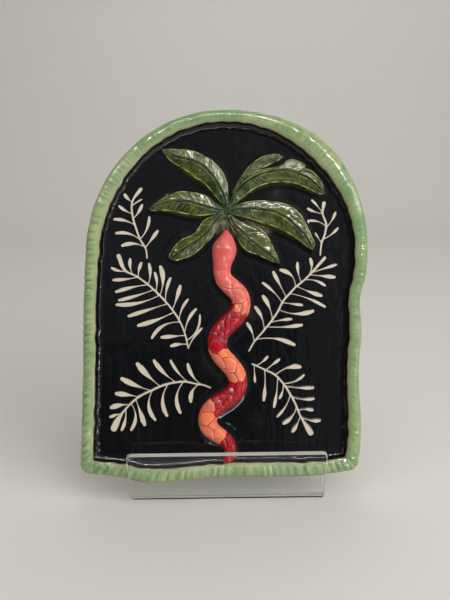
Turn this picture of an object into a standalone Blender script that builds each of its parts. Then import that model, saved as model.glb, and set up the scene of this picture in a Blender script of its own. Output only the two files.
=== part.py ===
"""An arched ceramic plaque with a palm crown, a winding snake and a raised rim, leaning in a clear easel.

The plaque is one fired solid: a slab, the clay coil round its edge, six leaves and the snake.
The easel is one bent clear sheet: a front lip, a narrow foot, a back panel and a rear leg.

Metres, +Z up, the face towards -Y. The origin is the middle of the footprint's box, on the table.
On the plaque u runs across the face, v up it from the foot and w out of it from the back.
"""

import math

import bmesh
import bpy
import numpy as np

# Plaque
PLAQUE_WIDTH = 0.197
SPRING_HEIGHT = 0.157  # from the foot to the centre of the arch
CORNER_RADIUS = 0.007
INNER_CORNER_SHRINK = 0.42  # how fast a corner tightens from the edge inwards
ARCH_SHIFT = 0.0042  # how far the arch's centre lies to the right of the foot's
SLAB_THICKNESS = 0.0091
BACK_EDGE_ROUNDING = 0.0016

# Clay coil laid round the slab's edge
COIL_WIDTH = 0.0095
COIL_RISE = 0.0050  # from the field to the crest
COIL_FILLET = 0.0008

# Places where the hand-rolled edge wanders: u, v, how far out, how much wider the coil, half length
EDGE_SWELLS = (
    (-0.050, 0.000, 0.0050, 0.0010, 0.017),
    (-0.020, 0.000, 0.0020, 0.0004, 0.018),
    (0.040, 0.000, 0.0012, 0.0014, 0.030),
    (0.098, 0.000, -0.0030, 0.0000, 0.013),
    (0.094, 0.040, -0.0009, 0.0004, 0.018),
    (0.094, 0.072, -0.0034, -0.0003, 0.019),
    (0.096, 0.100, -0.0012, -0.0002, 0.014),
    (0.097, 0.121, -0.0040, -0.0006, 0.010),
    (0.072, 0.229, 0.0034, 0.0056, 0.030),
    (0.008, 0.255, -0.0007, -0.0006, 0.020),
    (-0.080, 0.200, -0.0004, 0.0022, 0.034),
    (-0.096, 0.125, 0.0011, 0.0000, 0.030),
)

# Palm crown: tip (u, v), bow as a share of the length, half widths left and right of the rib, tears
# (side, place along the leaf, depth)
CROWN = (0.0029, 0.1862)
LEAVES = (
    ("leaf_upper_left", (-0.0432, 0.2269), -0.15, 0.0098, 0.0090, ()),
    ("leaf_left", (-0.0525, 0.1863), -0.10, 0.0086, 0.0068, ()),
    ("leaf_lower_left", (-0.0390, 0.1512), 0.05, 0.0056, 0.0074, (("right", 0.50, 0.0030),)),
    ("leaf_lower_right", (0.0387, 0.1473), 0.05, 0.0086, 0.0076, ()),
    ("leaf_right", (0.0620, 0.1571), 0.18, 0.0078, 0.0098, ()),
    (
        "leaf_upper_right",
        (0.0694, 0.1956),
        0.29,
        0.0112,
        0.0088,
        (("left", 0.60, 0.0042), ("left", 0.80, 0.0026)),
    ),
)
LEAF_EDGE_HEIGHT = 0.0022
LEAF_CROWN_HEIGHT = 0.0036
RIB_GROOVE_DEPTH = 0.0010
RIB_GROOVE_WIDTH = 0.0011
LEAF_LAP = 0.00013  # how much higher each leaf lies than the one before it
LEAF_STEM = 0.0035  # how far each leaf starts beyond the crown
LEAF_STEPS = 17
LEAF_ACROSS = 8
TEAR_HALF_LENGTH = 0.035  # as a share of the leaf

# Snake: where its back turns, from the nose to the tail, and its half width at distances from the nose
SNAKE_TURNS = (
    (0.0030, 0.1706),
    (-0.0015, 0.1416),
    (0.0120, 0.1198),
    (-0.0049, 0.0915),
    (0.0097, 0.0642),
    (-0.0115, 0.0371),
    (0.0042, 0.0167),
    (0.0026, 0.0060),
)
SNAKE_GIRTH = (
    (0.000, 0.0016),
    (0.005, 0.0052),
    (0.014, 0.0081),
    (0.022, 0.0070),
    (0.031, 0.0056),
    (0.043, 0.0063),
    (0.060, 0.0067),
    (0.165, 0.0067),
    (0.183, 0.0043),
    (0.200, 0.0034),
)
SNAKE_RISE_SHARE = 0.84  # height over half width
SNAKE_EDGE_HEIGHT = 0.0006
SCALE_LENGTH = 0.0068
SCALE_DEPTH = 0.0006
SCALES_START = 0.033  # from the nose, so that the head stays smooth
SNAKE_STEP = 0.0018
SNAKE_ACROSS = 12

EMBED_DEPTH = 0.0020  # how far leaves and snake sink into the slab
EMBED_STEP = 0.00015  # each one a little deeper than the last

# Pressed pocket high on the back, which hooks over a nail
POCKET_WIDTH = 0.032
POCKET_HEIGHT = 0.012
POCKET_DEPTH = 0.0040
POCKET_CENTRE = 0.212
POCKET_END_STEPS = 5

# Easel, one sheet of clear plastic
SHEET = 0.003
EASEL_WIDTH = 0.136
EASEL_TOP_WIDTH = 0.098
LIP_LENGTH = 0.0442
LIP_LEAN = math.radians(18)
PLAQUE_LEAN = math.radians(18)
PLAQUE_TURN = math.radians(0.8)  # clockwise, because both ends of its uneven foot rest on the lip
PLAQUE_ASIDE = -0.0021  # from the easel's middle to the plaque's
BACK_LENGTH = 0.150
LEG_SPREAD = math.radians(20)
FOOT_LENGTH = 0.002  # the flat that rests on the table
BEND_RADIUS = 0.0013  # inside the two bends at the foot
TOP_BEND_RADIUS = 0.0045
SHEET_CORNER_RADIUS = 0.003
BEND_STEPS = 5
CORNER_STEPS = 3

CLEARANCE = 0.0003


# Outline of the plaque


def edge_stations(inset=0.0, side_steps=24, arch_steps=58, corner_steps=5, bottom_steps=30):
    """Points and outward directions round the even arch drawn in by the inset, anticlockwise."""
    half = PLAQUE_WIDTH / 2 - inset
    corner = CORNER_RADIUS - INNER_CORNER_SHRINK * inset
    foot = inset + corner
    points = []
    outward = []

    def add(u, v, angle):
        points.append((u, v))
        outward.append((math.cos(angle), math.sin(angle)))

    for i in range(side_steps):
        add(half, foot + (SPRING_HEIGHT - foot) * i / side_steps, 0.0)
    for i in range(arch_steps):
        angle = math.pi * i / arch_steps
        add(half * math.cos(angle), SPRING_HEIGHT + half * math.sin(angle), angle)
    for i in range(side_steps):
        add(-half, SPRING_HEIGHT - (SPRING_HEIGHT - foot) * i / side_steps, math.pi)
    for i in range(corner_steps):
        angle = math.pi + math.pi / 2 * i / corner_steps
        add(corner - half + corner * math.cos(angle), foot + corner * math.sin(angle), angle)
    for i in range(bottom_steps):
        add((corner - half) * (1 - 2 * i / bottom_steps), inset, 1.5 * math.pi)
    for i in range(corner_steps):
        angle = 1.5 * math.pi + math.pi / 2 * i / corner_steps
        add(half - corner + corner * math.cos(angle), foot + corner * math.sin(angle), angle)
    return np.array(points), np.array(outward)


def edge_swell(points):
    """How far the edge is pushed out at each point, and how much wider the coil is there."""
    out = np.zeros(len(points))
    wider = np.zeros(len(points))
    for u, v, push, widening, half_length in EDGE_SWELLS:
        away = np.hypot(points[:, 0] - u, points[:, 1] - v)
        bump = np.exp(-0.5 * (away / half_length) ** 2)
        out += push * bump
        wider += widening * bump
    return out, wider


def leaned(points):
    """The points moved sideways, because the arch sits to the right of the foot."""
    share = np.clip(points[:, 1] / SPRING_HEIGHT, 0, 1)
    return points + np.column_stack([ARCH_SHIFT * (share - 0.5), np.zeros(len(points))])


def coil_profile():
    """The slab's edge with its coil, from the field over the crest and down to the back.

    Each point is (share of the coil's width inwards, fixed inset, height w).
    """
    crest = SLAB_THICKNESS + COIL_RISE
    return (
        (1.0, COIL_FILLET, SLAB_THICKNESS),
        (0.96, 0.0, SLAB_THICKNESS + COIL_RISE * 0.18),
        (0.86, 0.0, SLAB_THICKNESS + COIL_RISE * 0.62),
        (0.69, 0.0, crest - COIL_RISE * 0.10),
        (0.49, 0.0, crest),
        (0.27, 0.0, crest - COIL_RISE * 0.13),
        (0.09, 0.0, SLAB_THICKNESS + COIL_RISE * 0.52),
        (0.0, 0.0, SLAB_THICKNESS + COIL_RISE * 0.08),
        (0.0, 0.0, BACK_EDGE_ROUNDING),
        (0.0, BACK_EDGE_ROUNDING, 0.0),
    )


def edge_rings():
    """(stations, profile points, 3) array of u, v, w for the slab's edge."""
    out, wider = edge_swell(edge_stations()[0])
    rings = []
    for share, inset, w in coil_profile():
        points, outward = edge_stations(share * COIL_WIDTH + inset)
        uv = leaned(points + outward * (out - share * wider)[:, None])
        rings.append(np.column_stack([uv, np.full(len(uv), w)]))
    return np.stack(rings, axis=1)


# Leaves


def bowed_rib(tip, bow, t):
    """Points of a parabola from the crown to the tip, and the unit vector to its left at each."""
    reach = np.array(tip) - np.array(CROWN)
    start = np.array(CROWN) - reach * LEAF_STEM / np.linalg.norm(reach)
    chord = np.array(tip) - start
    left = np.array([-chord[1], chord[0]])
    rib = start + np.outer(t, chord) + np.outer(4 * bow * t * (1 - t), left)
    along = chord + np.outer(4 * bow * (1 - 2 * t), left)
    along /= np.linalg.norm(along, axis=1)[:, None]
    return rib, np.column_stack([-along[:, 1], along[:, 0]])


def blade_width(t):
    """Share of the full half width along a leaf: narrow stem, broad middle, pointed tip."""
    return np.maximum(np.sin(np.pi * t**0.86) ** 0.72, 0.30 * (1 - t) ** 3 + 0.05)


def torn(t, tears, side):
    """How deep the tears on one side cut into the blade."""
    depth = np.zeros(len(t))
    for at_side, place, cut in tears:
        if at_side == side:
            depth += cut * np.clip(1 - np.abs(t - place) / TEAR_HALF_LENGTH, 0, 1)
    return depth


def leaf_grid(tip, bow, left_width, right_width, tears, order):
    """(along, across, 3) array of u, v, w over a leaf's top, s going from its left edge to its right."""
    t = list(np.linspace(0, 1, LEAF_STEPS))
    for _, place, _ in tears:
        t += [place - TEAR_HALF_LENGTH, place, place + TEAR_HALF_LENGTH]
    t = np.array(sorted(t))
    rib, left = bowed_rib(tip, bow, t)
    widths = {
        "left": left_width * blade_width(t) - torn(t, tears, "left"),
        "right": right_width * blade_width(t) - torn(t, tears, "right"),
    }
    s = np.linspace(1, -1, LEAF_ACROSS + 1)
    aside = np.where(s > 0, np.outer(widths["left"], s), np.outer(widths["right"], s))
    uv = rib[:, None, :] + left[:, None, :] * aside[:, :, None]
    dome = (LEAF_CROWN_HEIGHT - LEAF_EDGE_HEIGHT) * (1 - np.abs(s) ** 2.4)
    groove = RIB_GROOVE_DEPTH * np.exp(-((aside / RIB_GROOVE_WIDTH) ** 2))
    w = SLAB_THICKNESS + LEAF_EDGE_HEIGHT + order * LEAF_LAP + dome[None, :] - groove
    return np.dstack([uv, w])


# Snake


def meander(start, end, steps):
    """Points of a sine-generated curve between two turns, heading straight down at both."""
    sideways = end[0] - start[0]
    down = start[1] - end[1]
    fine = np.linspace(0, 1, 241)

    def reach(swing):
        heading = swing * np.sin(np.pi * fine)
        middle = (heading[1:] + heading[:-1]) / 2
        return np.cumsum(np.sin(middle)) / len(middle), np.cumsum(np.cos(middle)) / len(middle)

    low, high = 0.0, 1.9
    for _ in range(40):
        swing = (low + high) / 2
        across, along = reach(swing)
        if across[-1] * down < abs(sideways) * along[-1]:
            low = swing
        else:
            high = swing
    across, along = reach(swing)
    length = down / along[-1]
    aside = np.insert(across, 0, 0) * math.copysign(length, sideways)
    fallen = np.insert(along, 0, 0) * length
    t = np.arange(steps) / steps
    return np.column_stack([start[0] + np.interp(t, fine, aside), start[1] - np.interp(t, fine, fallen)])


def snake_back():
    """Even points down the snake's back, the unit vector to its left, and the distance from the nose."""
    pieces = [meander(a, b, 120) for a, b in zip(SNAKE_TURNS[:-1], SNAKE_TURNS[1:])]
    path = np.vstack([*pieces, [SNAKE_TURNS[-1]]])
    gone = np.insert(np.cumsum(np.linalg.norm(np.diff(path, axis=0), axis=1)), 0, 0)
    distance = np.linspace(0, gone[-1], int(gone[-1] / SNAKE_STEP))
    back = np.column_stack([np.interp(distance, gone, path[:, k]) for k in (0, 1)])
    along = np.gradient(back, axis=0)
    along /= np.linalg.norm(along, axis=1)[:, None]
    return back, np.column_stack([-along[:, 1], along[:, 0]]), distance


def snake_half_width(distance):
    """Half width at a distance from the nose, eased between the girth's stations."""
    stations, widths = np.array(SNAKE_GIRTH).T
    place = np.clip(np.searchsorted(stations, distance) - 1, 0, len(stations) - 2)
    share = np.clip((distance - stations[place]) / (stations[place + 1] - stations[place]), 0, 1)
    eased = share * share * (3 - 2 * share)
    return widths[place] + (widths[place + 1] - widths[place]) * (0.5 * share + 0.5 * eased)


def snake_grid():
    """(along, across, 3) array of u, v, w over the snake's rounded back with its diamond scales."""
    back, left, distance = snake_back()
    half = snake_half_width(distance)
    angle = np.linspace(0, np.pi, SNAKE_ACROSS + 1)
    aside = np.outer(half, np.cos(angle))
    rise = np.outer(half * SNAKE_RISE_SHARE, np.sin(angle) ** 0.8)
    # Diamonds: the distance along and the distance round the back, folded into a lattice.
    along = distance[:, None] / SCALE_LENGTH
    around = (angle / np.pi - 0.5)[None, :] * 2.0
    fold_a = np.abs((along + around) % 1 - 0.5) * 2
    fold_b = np.abs((along - around) % 1 - 0.5) * 2
    carved = SCALE_DEPTH * np.maximum(fold_a, fold_b) ** 3
    fade = np.clip((distance - SCALES_START) / SCALE_LENGTH, 0, 1)[:, None]
    rise = np.maximum(rise - carved * fade * np.sin(angle)[None, :], 0)
    uv = back[:, None, :] + left[:, None, :] * aside[:, :, None]
    return np.dstack([uv, SLAB_THICKNESS + SNAKE_EDGE_HEIGHT + rise])


# Meshes


def upright(uvw):
    """The plaque's u, v, w as x, y, z of a plaque that stands upright and faces -Y."""
    uvw = np.asarray(uvw)
    return np.stack([uvw[..., 0], -uvw[..., 2], uvw[..., 1]], axis=-1)


def clear_material(name, colour, roughness, alpha=1.0):
    material = bpy.data.materials.new(name)
    material.use_nodes = True
    shader = material.node_tree.nodes["Principled BSDF"]
    shader.inputs["Base Color"].default_value = (*colour, 1.0)
    shader.inputs["Roughness"].default_value = roughness
    shader.inputs["Metallic"].default_value = 0.0
    shader.inputs["Alpha"].default_value = alpha
    return material


def add_object(name, points, faces, materials, parent, face_materials=None):
    """A mesh object with its normals pointing out."""
    mesh = bpy.data.meshes.new(name)
    mesh.from_pydata([tuple(p) for p in points], [], faces)
    for material in materials:
        mesh.materials.append(material)
    if face_materials is not None:
        mesh.polygons.foreach_set("material_index", face_materials)
    shape = bmesh.new()
    shape.from_mesh(mesh)
    bmesh.ops.recalc_face_normals(shape, faces=shape.faces)
    shape.to_mesh(mesh)
    shape.free()
    mesh.shade_smooth()
    mesh.set_sharp_from_angle(angle=math.radians(40))
    made = bpy.data.objects.new(name, mesh)
    bpy.context.scene.collection.objects.link(made)
    made.parent = parent
    return made


def grid_faces(rows, columns, closed=False):
    """Quads of a grid whose points run row by row, the last row joined to the first if closed."""
    faces = []
    for i in range(rows if closed else rows - 1):
        for j in range(columns - 1):
            a = i * columns + j
            b = (i + 1) % rows * columns + j
            faces.append((a, b, b + 1, a + 1))
    return faces


def slab_object(materials, parent):
    """The slab and its coil: rings round the edge, closed by the field in front and the back."""
    rings = upright(edge_rings())
    count, depth = rings.shape[:2]
    faces = grid_faces(count, depth, closed=True)
    coil_faces = [1 if j % (depth - 1) < depth - 3 else 2 for j in range(len(faces))]
    faces.append([i * depth for i in range(count)])
    faces.append([i * depth + depth - 1 for i in range(count)])
    return add_object("plaque", rings.reshape(-1, 3), faces, materials, parent, [*coil_faces, 0, 2])


def relief_object(name, grid, material, parent, order):
    """A raised form: its top grid, a wall down each side and end, and an underside sunk in the slab."""
    rows, columns = grid.shape[:2]
    underside = grid[:, [0, -1]].copy()
    underside[:, :, 2] = SLAB_THICKNESS - EMBED_DEPTH - order * EMBED_STEP
    points = upright(np.vstack([grid.reshape(-1, 3), underside.reshape(-1, 3)]))
    faces = grid_faces(rows, columns)
    first = rows * columns
    for i in range(rows - 1):
        left, right = i * columns, i * columns + columns - 1
        low_left, low_right = first + 2 * i, first + 2 * i + 1
        faces.append((left, left + columns, low_left + 2, low_left))
        faces.append((right, right + columns, low_right + 2, low_right))
        faces.append((low_left, low_right, low_right + 2, low_left + 2))
    for i in (0, rows - 1):
        faces.append([i * columns + j for j in range(columns)] + [first + 2 * i + 1, first + 2 * i])
    return add_object(name, points, faces, [material], parent)


def pocket_object(material, parent):
    """The pocket's cutter: a round-ended bar across the back, longer than its depth."""
    radius = POCKET_HEIGHT / 2
    reach = POCKET_WIDTH / 2 - radius
    outline = []
    for side in (1, -1):
        for i in range(POCKET_END_STEPS + 1):
            angle = side * (math.pi * i / POCKET_END_STEPS - math.pi / 2)
            across = side * (reach + radius * math.cos(angle))
            outline.append((across, POCKET_CENTRE + radius * math.sin(angle)))
    count = len(outline)
    inner = [(u, v, POCKET_DEPTH) for u, v in outline]
    outer = [(u, v, -POCKET_DEPTH) for u, v in outline]
    faces = [(i, (i + 1) % count, count + (i + 1) % count, count + i) for i in range(count)]
    faces += [list(range(count)), list(range(count, 2 * count))]
    return add_object("pocket_cutter", upright(np.array(inner + outer)), faces, [material], parent)


def combine(base, other, operation):
    """Joins the other object to the base, or cuts it away, and hides the other as a helper."""
    modifier = base.modifiers.new(other.name, "BOOLEAN")
    modifier.operation = operation
    modifier.solver = "EXACT"
    modifier.object = other
    modifier.material_mode = "TRANSFER"
    other.hide_render = True
    other.display_type = "WIRE"


# Easel


def sheet_corners():
    """Corners of the sheet's middle line, (y, z): lip top, the foot's two, top bend, leg's end."""
    middle = SHEET / 2
    front = np.array([0.0, middle])
    rear = np.array([FOOT_LENGTH + bend_setback(LIP_LEAN) + bend_setback(PLAQUE_LEAN), middle])
    lip_top = front + LIP_LENGTH * np.array([-math.sin(LIP_LEAN), math.cos(LIP_LEAN)])
    top = rear + BACK_LENGTH * np.array([math.sin(PLAQUE_LEAN), math.cos(PLAQUE_LEAN)])
    leg_length = top[1] / math.cos(LEG_SPREAD)
    leg_end = top + leg_length * np.array([math.sin(LEG_SPREAD), -math.cos(LEG_SPREAD)])
    return [lip_top, front, rear, top, leg_end]


def bend_setback(lean):
    """How far a foot bend's arc starts from its corner, for a sheet that leans this much from upright."""
    turn = math.pi / 2 - lean
    return (BEND_RADIUS + SHEET / 2) * math.tan(turn / 2)


def sheet_line():
    """Points along the middle line with its bends as arcs, and the direction to the inner side at each."""
    corners = sheet_corners()
    radii = [BEND_RADIUS + SHEET / 2, BEND_RADIUS + SHEET / 2, TOP_BEND_RADIUS + SHEET / 2]
    points = []
    headings = []
    first = corners[1] - corners[0]
    start_heading = math.atan2(first[1], first[0])
    for i in range(CORNER_STEPS + 1):
        ease = SHEET_CORNER_RADIUS * (1 - math.cos(math.pi / 2 * i / CORNER_STEPS))
        points.append(corners[0] + ease * first / np.linalg.norm(first))
        headings.append(start_heading)
    for before, corner, after, radius in zip(corners[:-2], corners[1:-1], corners[2:], radii):
        come = math.atan2(*(corner - before)[::-1])
        go = math.atan2(*(after - corner)[::-1])
        turn = (go - come + math.pi) % (2 * math.pi) - math.pi
        setback = radius * math.tan(abs(turn) / 2)
        begin = corner - setback * np.array([math.cos(come), math.sin(come)])
        side = math.copysign(1, turn)
        centre = begin + side * radius * np.array([-math.sin(come), math.cos(come)])
        steps = BEND_STEPS * (2 if abs(turn) > math.pi / 2 else 1)
        for i in range(steps + 1):
            heading = come + turn * i / steps
            points.append(centre - side * radius * np.array([-math.sin(heading), math.cos(heading)]))
            headings.append(heading)
    points.append(corners[-1])
    headings.append(headings[-1])
    return np.array(points), np.array(headings)


def sheet_half_widths(points):
    """Half the sheet's width: even on the lip and foot, narrowing up the back panel, even down the leg."""
    gone = np.insert(np.cumsum(np.linalg.norm(np.diff(points, axis=0), axis=1)), 0, 0)
    corners = sheet_corners()
    back_start = np.linalg.norm(corners[1] - corners[0]) + np.linalg.norm(corners[2] - corners[1])
    share = np.clip((gone - back_start) / BACK_LENGTH, 0, 1)
    half = (EASEL_WIDTH + (EASEL_TOP_WIDTH - EASEL_WIDTH) * share) / 2
    short = np.clip(SHEET_CORNER_RADIUS - gone, 0, None)
    return half - SHEET_CORNER_RADIUS + np.sqrt(SHEET_CORNER_RADIUS**2 - short**2)


def easel_object(material, parent):
    """The bent sheet: four long edges carried along its middle line, its leg's end cut level."""
    line, headings = sheet_line()
    half = sheet_half_widths(line)
    normal = np.column_stack([-np.sin(headings), np.cos(headings)])
    sides = [line + normal * SHEET / 2, line - normal * SHEET / 2]
    along_leg = np.array([math.cos(headings[-1]), math.sin(headings[-1])])
    for side in sides:
        side[-1] -= along_leg * side[-1][1] / along_leg[1]
    upper, lower = sides
    points = []
    for (uy, uz), (ly, lz), x in zip(upper, lower, half):
        points += [(-x, uy, uz), (x, uy, uz), (x, ly, lz), (-x, ly, lz)]
    faces = []
    for i in range(len(line) - 1):
        for j in range(4):
            a = 4 * i + j
            b = 4 * i + (j + 1) % 4
            faces.append((a, b, b + 4, a + 4))
    faces.append((0, 1, 2, 3))
    last = 4 * (len(line) - 1)
    faces.append((last, last + 1, last + 2, last + 3))
    return add_object("easel", points, faces, [material], parent)


# Assembly


def empty(name, parent=None):
    made = bpy.data.objects.new(name, None)
    bpy.context.scene.collection.objects.link(made)
    made.parent = parent
    return made


def seat_plaque(rings):
    """Place of the plaque's back foot: its back just clears the panel and its foot just clears the lip."""
    corners = sheet_corners()
    gap = SHEET / 2 + CLEARANCE
    up = np.array([math.sin(PLAQUE_LEAN), math.cos(PLAQUE_LEAN)])
    out = np.array([-math.cos(PLAQUE_LEAN), math.sin(PLAQUE_LEAN)])
    from_lip = np.array([math.cos(LIP_LEAN), math.sin(LIP_LEAN)])
    panel_point = corners[2] + gap * out
    across = PLAQUE_ASIDE + rings[:, 0] * math.cos(PLAQUE_TURN) + rings[:, 1] * math.sin(PLAQUE_TURN)
    risen = rings[:, 1] * math.cos(PLAQUE_TURN) - rings[:, 0] * math.sin(PLAQUE_TURN)
    held = np.abs(across) < EASEL_WIDTH / 2 + CORNER_RADIUS
    spots = panel_point + risen[held, None] * up + rings[held, 2:3] * out
    short = gap - (spots - corners[1]) @ from_lip
    foot = panel_point + up * max(short) / (up @ from_lip)
    return PLAQUE_ASIDE, foot[0], foot[1]


def main():
    for old in list(bpy.data.objects):
        bpy.data.objects.remove(old, do_unlink=True)
    black = clear_material("black_glaze", (0.008, 0.008, 0.011), 0.12)
    green = clear_material("rim_glaze", (0.30, 0.47, 0.24), 0.18)
    clay = clear_material("bare_clay", (0.60, 0.50, 0.39), 0.75)
    leaf_green = clear_material("leaf_glaze", (0.08, 0.14, 0.03), 0.15)
    coral = clear_material("snake_glaze", (0.75, 0.13, 0.08), 0.15)
    plastic = clear_material("clear_plastic", (0.93, 0.95, 0.94), 0.03, alpha=0.25)

    root = empty("wall_hanging")
    plaque_frame = empty("plaque_frame", root)
    plaque = slab_object([black, green, clay], plaque_frame)
    for order, (name, tip, bow, left, right, tears) in enumerate(LEAVES):
        grid = leaf_grid(tip, bow, left, right, tears, order)
        combine(plaque, relief_object(name, grid, leaf_green, plaque_frame, order), "UNION")
    snake = relief_object("snake", snake_grid(), coral, plaque_frame, len(LEAVES))
    combine(plaque, snake, "UNION")
    combine(plaque, pocket_object(clay, plaque_frame), "DIFFERENCE")
    easel = easel_object(plastic, root)

    # The plaque turns in its own plane first, and then leans.
    plaque_frame.location = seat_plaque(edge_rings().reshape(-1, 3))
    plaque_frame.rotation_mode = "YXZ"
    plaque_frame.rotation_euler = (-PLAQUE_LEAN, PLAQUE_TURN, 0.0)

    # The origin goes to the middle of the footprint's box.
    bpy.context.view_layer.update()
    corners = [o.matrix_world @ v.co for o in (plaque, easel) for v in o.data.vertices]
    box = np.array(corners)
    middle = (box.min(axis=0) + box.max(axis=0)) / 2
    root.location = (-middle[0], -middle[1], -box[:, 2].min())


main()
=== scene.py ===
import math

import bmesh
import bpy
import numpy as np
from mathutils import Matrix, Vector


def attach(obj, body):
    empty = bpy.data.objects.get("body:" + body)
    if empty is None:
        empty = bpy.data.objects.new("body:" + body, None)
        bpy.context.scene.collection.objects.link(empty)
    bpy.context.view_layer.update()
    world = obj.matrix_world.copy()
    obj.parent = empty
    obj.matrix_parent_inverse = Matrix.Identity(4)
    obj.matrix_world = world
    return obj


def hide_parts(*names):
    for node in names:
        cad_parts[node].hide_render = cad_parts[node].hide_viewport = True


# An arched ceramic plaque with a raised rim, six palm leaves and a winding snake, in a bent clear easel.
# Numbers in the plaque's dictionaries are millimetres: u across the face, v up it, w out from its back.

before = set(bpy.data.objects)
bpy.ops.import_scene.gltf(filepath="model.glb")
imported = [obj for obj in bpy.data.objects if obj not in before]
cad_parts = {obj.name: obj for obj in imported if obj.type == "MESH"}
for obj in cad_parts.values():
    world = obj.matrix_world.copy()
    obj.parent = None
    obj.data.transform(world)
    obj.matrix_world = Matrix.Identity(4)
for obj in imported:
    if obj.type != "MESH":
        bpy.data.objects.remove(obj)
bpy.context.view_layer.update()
rng = np.random.default_rng(11)
bpy.context.scene.view_settings.view_transform = "Standard"

# Camera and where the plaque stands

camera = {"place": (0.0011, -0.5148, 0.3009), "pitch": 72.0, "roll": -0.8, "lens": 45.6}
seat = {"foot": (-0.0012613, -0.0363263, 0.0174994), "lean": 18.0, "turn": 0.8}


def makeCamera():
    data = bpy.data.cameras.new("camera")
    data.lens = camera["lens"]
    data.sensor_width = 36.0
    made = bpy.data.objects.new("camera", data)
    bpy.context.scene.collection.objects.link(made)
    pitch = Matrix.Rotation(math.radians(camera["pitch"]), 4, "X")
    roll = Matrix.Rotation(math.radians(camera["roll"]), 4, "Z")
    made.matrix_world = Matrix.Translation(camera["place"]) @ pitch @ roll
    bpy.context.scene.camera = made


def onPlaque(uvw):
    # Millimetres on the plaque to metres in the room: turned in its own plane, then leaned back.
    u, v, w = np.moveaxis(np.asarray(uvw, float) / 1000, -1, 0)
    turn, lean = math.radians(seat["turn"]), math.radians(seat["lean"])
    across = u * math.cos(turn) + v * math.sin(turn)
    up = v * math.cos(turn) - u * math.sin(turn)
    x, y, z = seat["foot"]
    y = y + up * math.sin(lean) - w * math.cos(lean)
    z = z + up * math.cos(lean) + w * math.sin(lean)
    return np.stack([x + across, y, z], axis=-1)


# Shapes


def ease(x, low, high):
    # 0 at low, 1 at high, 3t^2 - 2t^3 between.
    t = np.clip((x - low) / (high - low), 0, 1)
    return t * t * (3 - 2 * t)


def bell(x, half):
    # 1 at 0, falling off on both sides as exp(-(x / half)^2).
    return np.exp(-((x / half) ** 2))


def curveThrough(points, steps):
    # Cubic pieces through the points, each point's slope taken from its neighbours.
    p = np.array(points, float)
    gone = np.insert(np.cumsum(np.linalg.norm(np.diff(p, axis=0), axis=1)), 0, 0)
    slope = np.gradient(p, gone, axis=0)
    t = np.linspace(0, gone[-1], steps) if np.isscalar(steps) else np.asarray(steps) * gone[-1]
    i = np.clip(np.searchsorted(gone, t, side="right") - 1, 0, len(p) - 2)
    gap = (gone[i + 1] - gone[i])[:, None]
    s = ((t - gone[i]) / gap[:, 0])[:, None]
    start = p[i] * (1 + 2 * s) * (1 - s) ** 2 + slope[i] * gap * s * (1 - s) ** 2
    return start + p[i + 1] * s * s * (3 - 2 * s) + slope[i + 1] * gap * s * s * (s - 1)


def ripple(x, wave, waves=5):
    # A wandering line: sines of nearby lengths with chance phases, about -1 to 1.
    total = np.zeros_like(x, dtype=float)
    for _ in range(waves):
        total = total + np.sin(2 * np.pi * x / (wave * rng.uniform(0.6, 1.7)) + rng.uniform(0, 6.3))
    return total / math.sqrt(waves)


def strokeDistance(points, path, half):
    # Shortest distance from each point to the path, less the half width there.
    best = np.full(len(points), 1000.0)
    for a, b, ra, rb in zip(path[:-1], path[1:], half[:-1], half[1:]):
        along = b - a
        share = np.clip((points - a) @ along / max(along @ along, 1e-9), 0, 1)
        away = np.hypot(*(points - a - share[:, None] * along).T)
        best = np.minimum(best, away - ra - (rb - ra) * share)
    return best


def drawCloser(best, points, path, half, margin):
    # The distance so far or the one to this path, whichever is shorter, within the path's box and a margin.
    low, high = path.min(axis=0) - margin, path.max(axis=0) + margin
    near = np.flatnonzero(((points > low) & (points < high)).all(axis=1))
    best[near] = np.minimum(best[near], strokeDistance(points[near], path, half))


def gridNormals(points):
    # Unit normals of a grid of points from the cross product of its two directions.
    du = np.gradient(points, axis=0)
    dv = np.gradient(points, axis=1)
    n = np.cross(du, dv)
    return n / np.maximum(np.linalg.norm(n, axis=-1, keepdims=True), 1e-9)


def gridQuads(rows, columns, closedRows=False, closedColumns=False):
    # The four-sided faces between a grid's points, as their numbers.
    i = np.arange(rows if closedRows else rows - 1)[:, None]
    j = np.arange(columns if closedColumns else columns - 1)[None, :]
    a, b = i * columns + j, (i + 1) % rows * columns + j
    c = (j + 1) % columns - j
    return np.stack([a, b, b + c, a + c], axis=-1).reshape(-1, 4)


def tubeFaces(rows, columns, closed):
    # The quads of a grid whose rows or columns close, and one face over each open end.
    index = np.arange(rows * columns).reshape(rows, columns)
    ends = (index[:, 0], index[:, -1]) if closed == "rows" else (index[0], index[-1])
    return [*gridQuads(rows, columns, closed == "rows", closed == "columns"), *(end.tolist() for end in ends)]


def level(ring, w):
    # A flat ring of points at one height.
    return np.column_stack([ring, np.full(len(ring), w)])


def carried(value, count, fill=0.0):
    # A grid's numbers in one line, with the fill for the columns that close the piece underneath.
    return np.pad(value, ((0, 0), (0, count)), constant_values=fill).ravel()


# how many numbers a point has: the kind of attribute and the name of its entry
layerKinds = {1: ("FLOAT", "value"), 3: ("FLOAT_VECTOR", "vector"), 4: ("FLOAT_COLOR", "color")}


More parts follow.
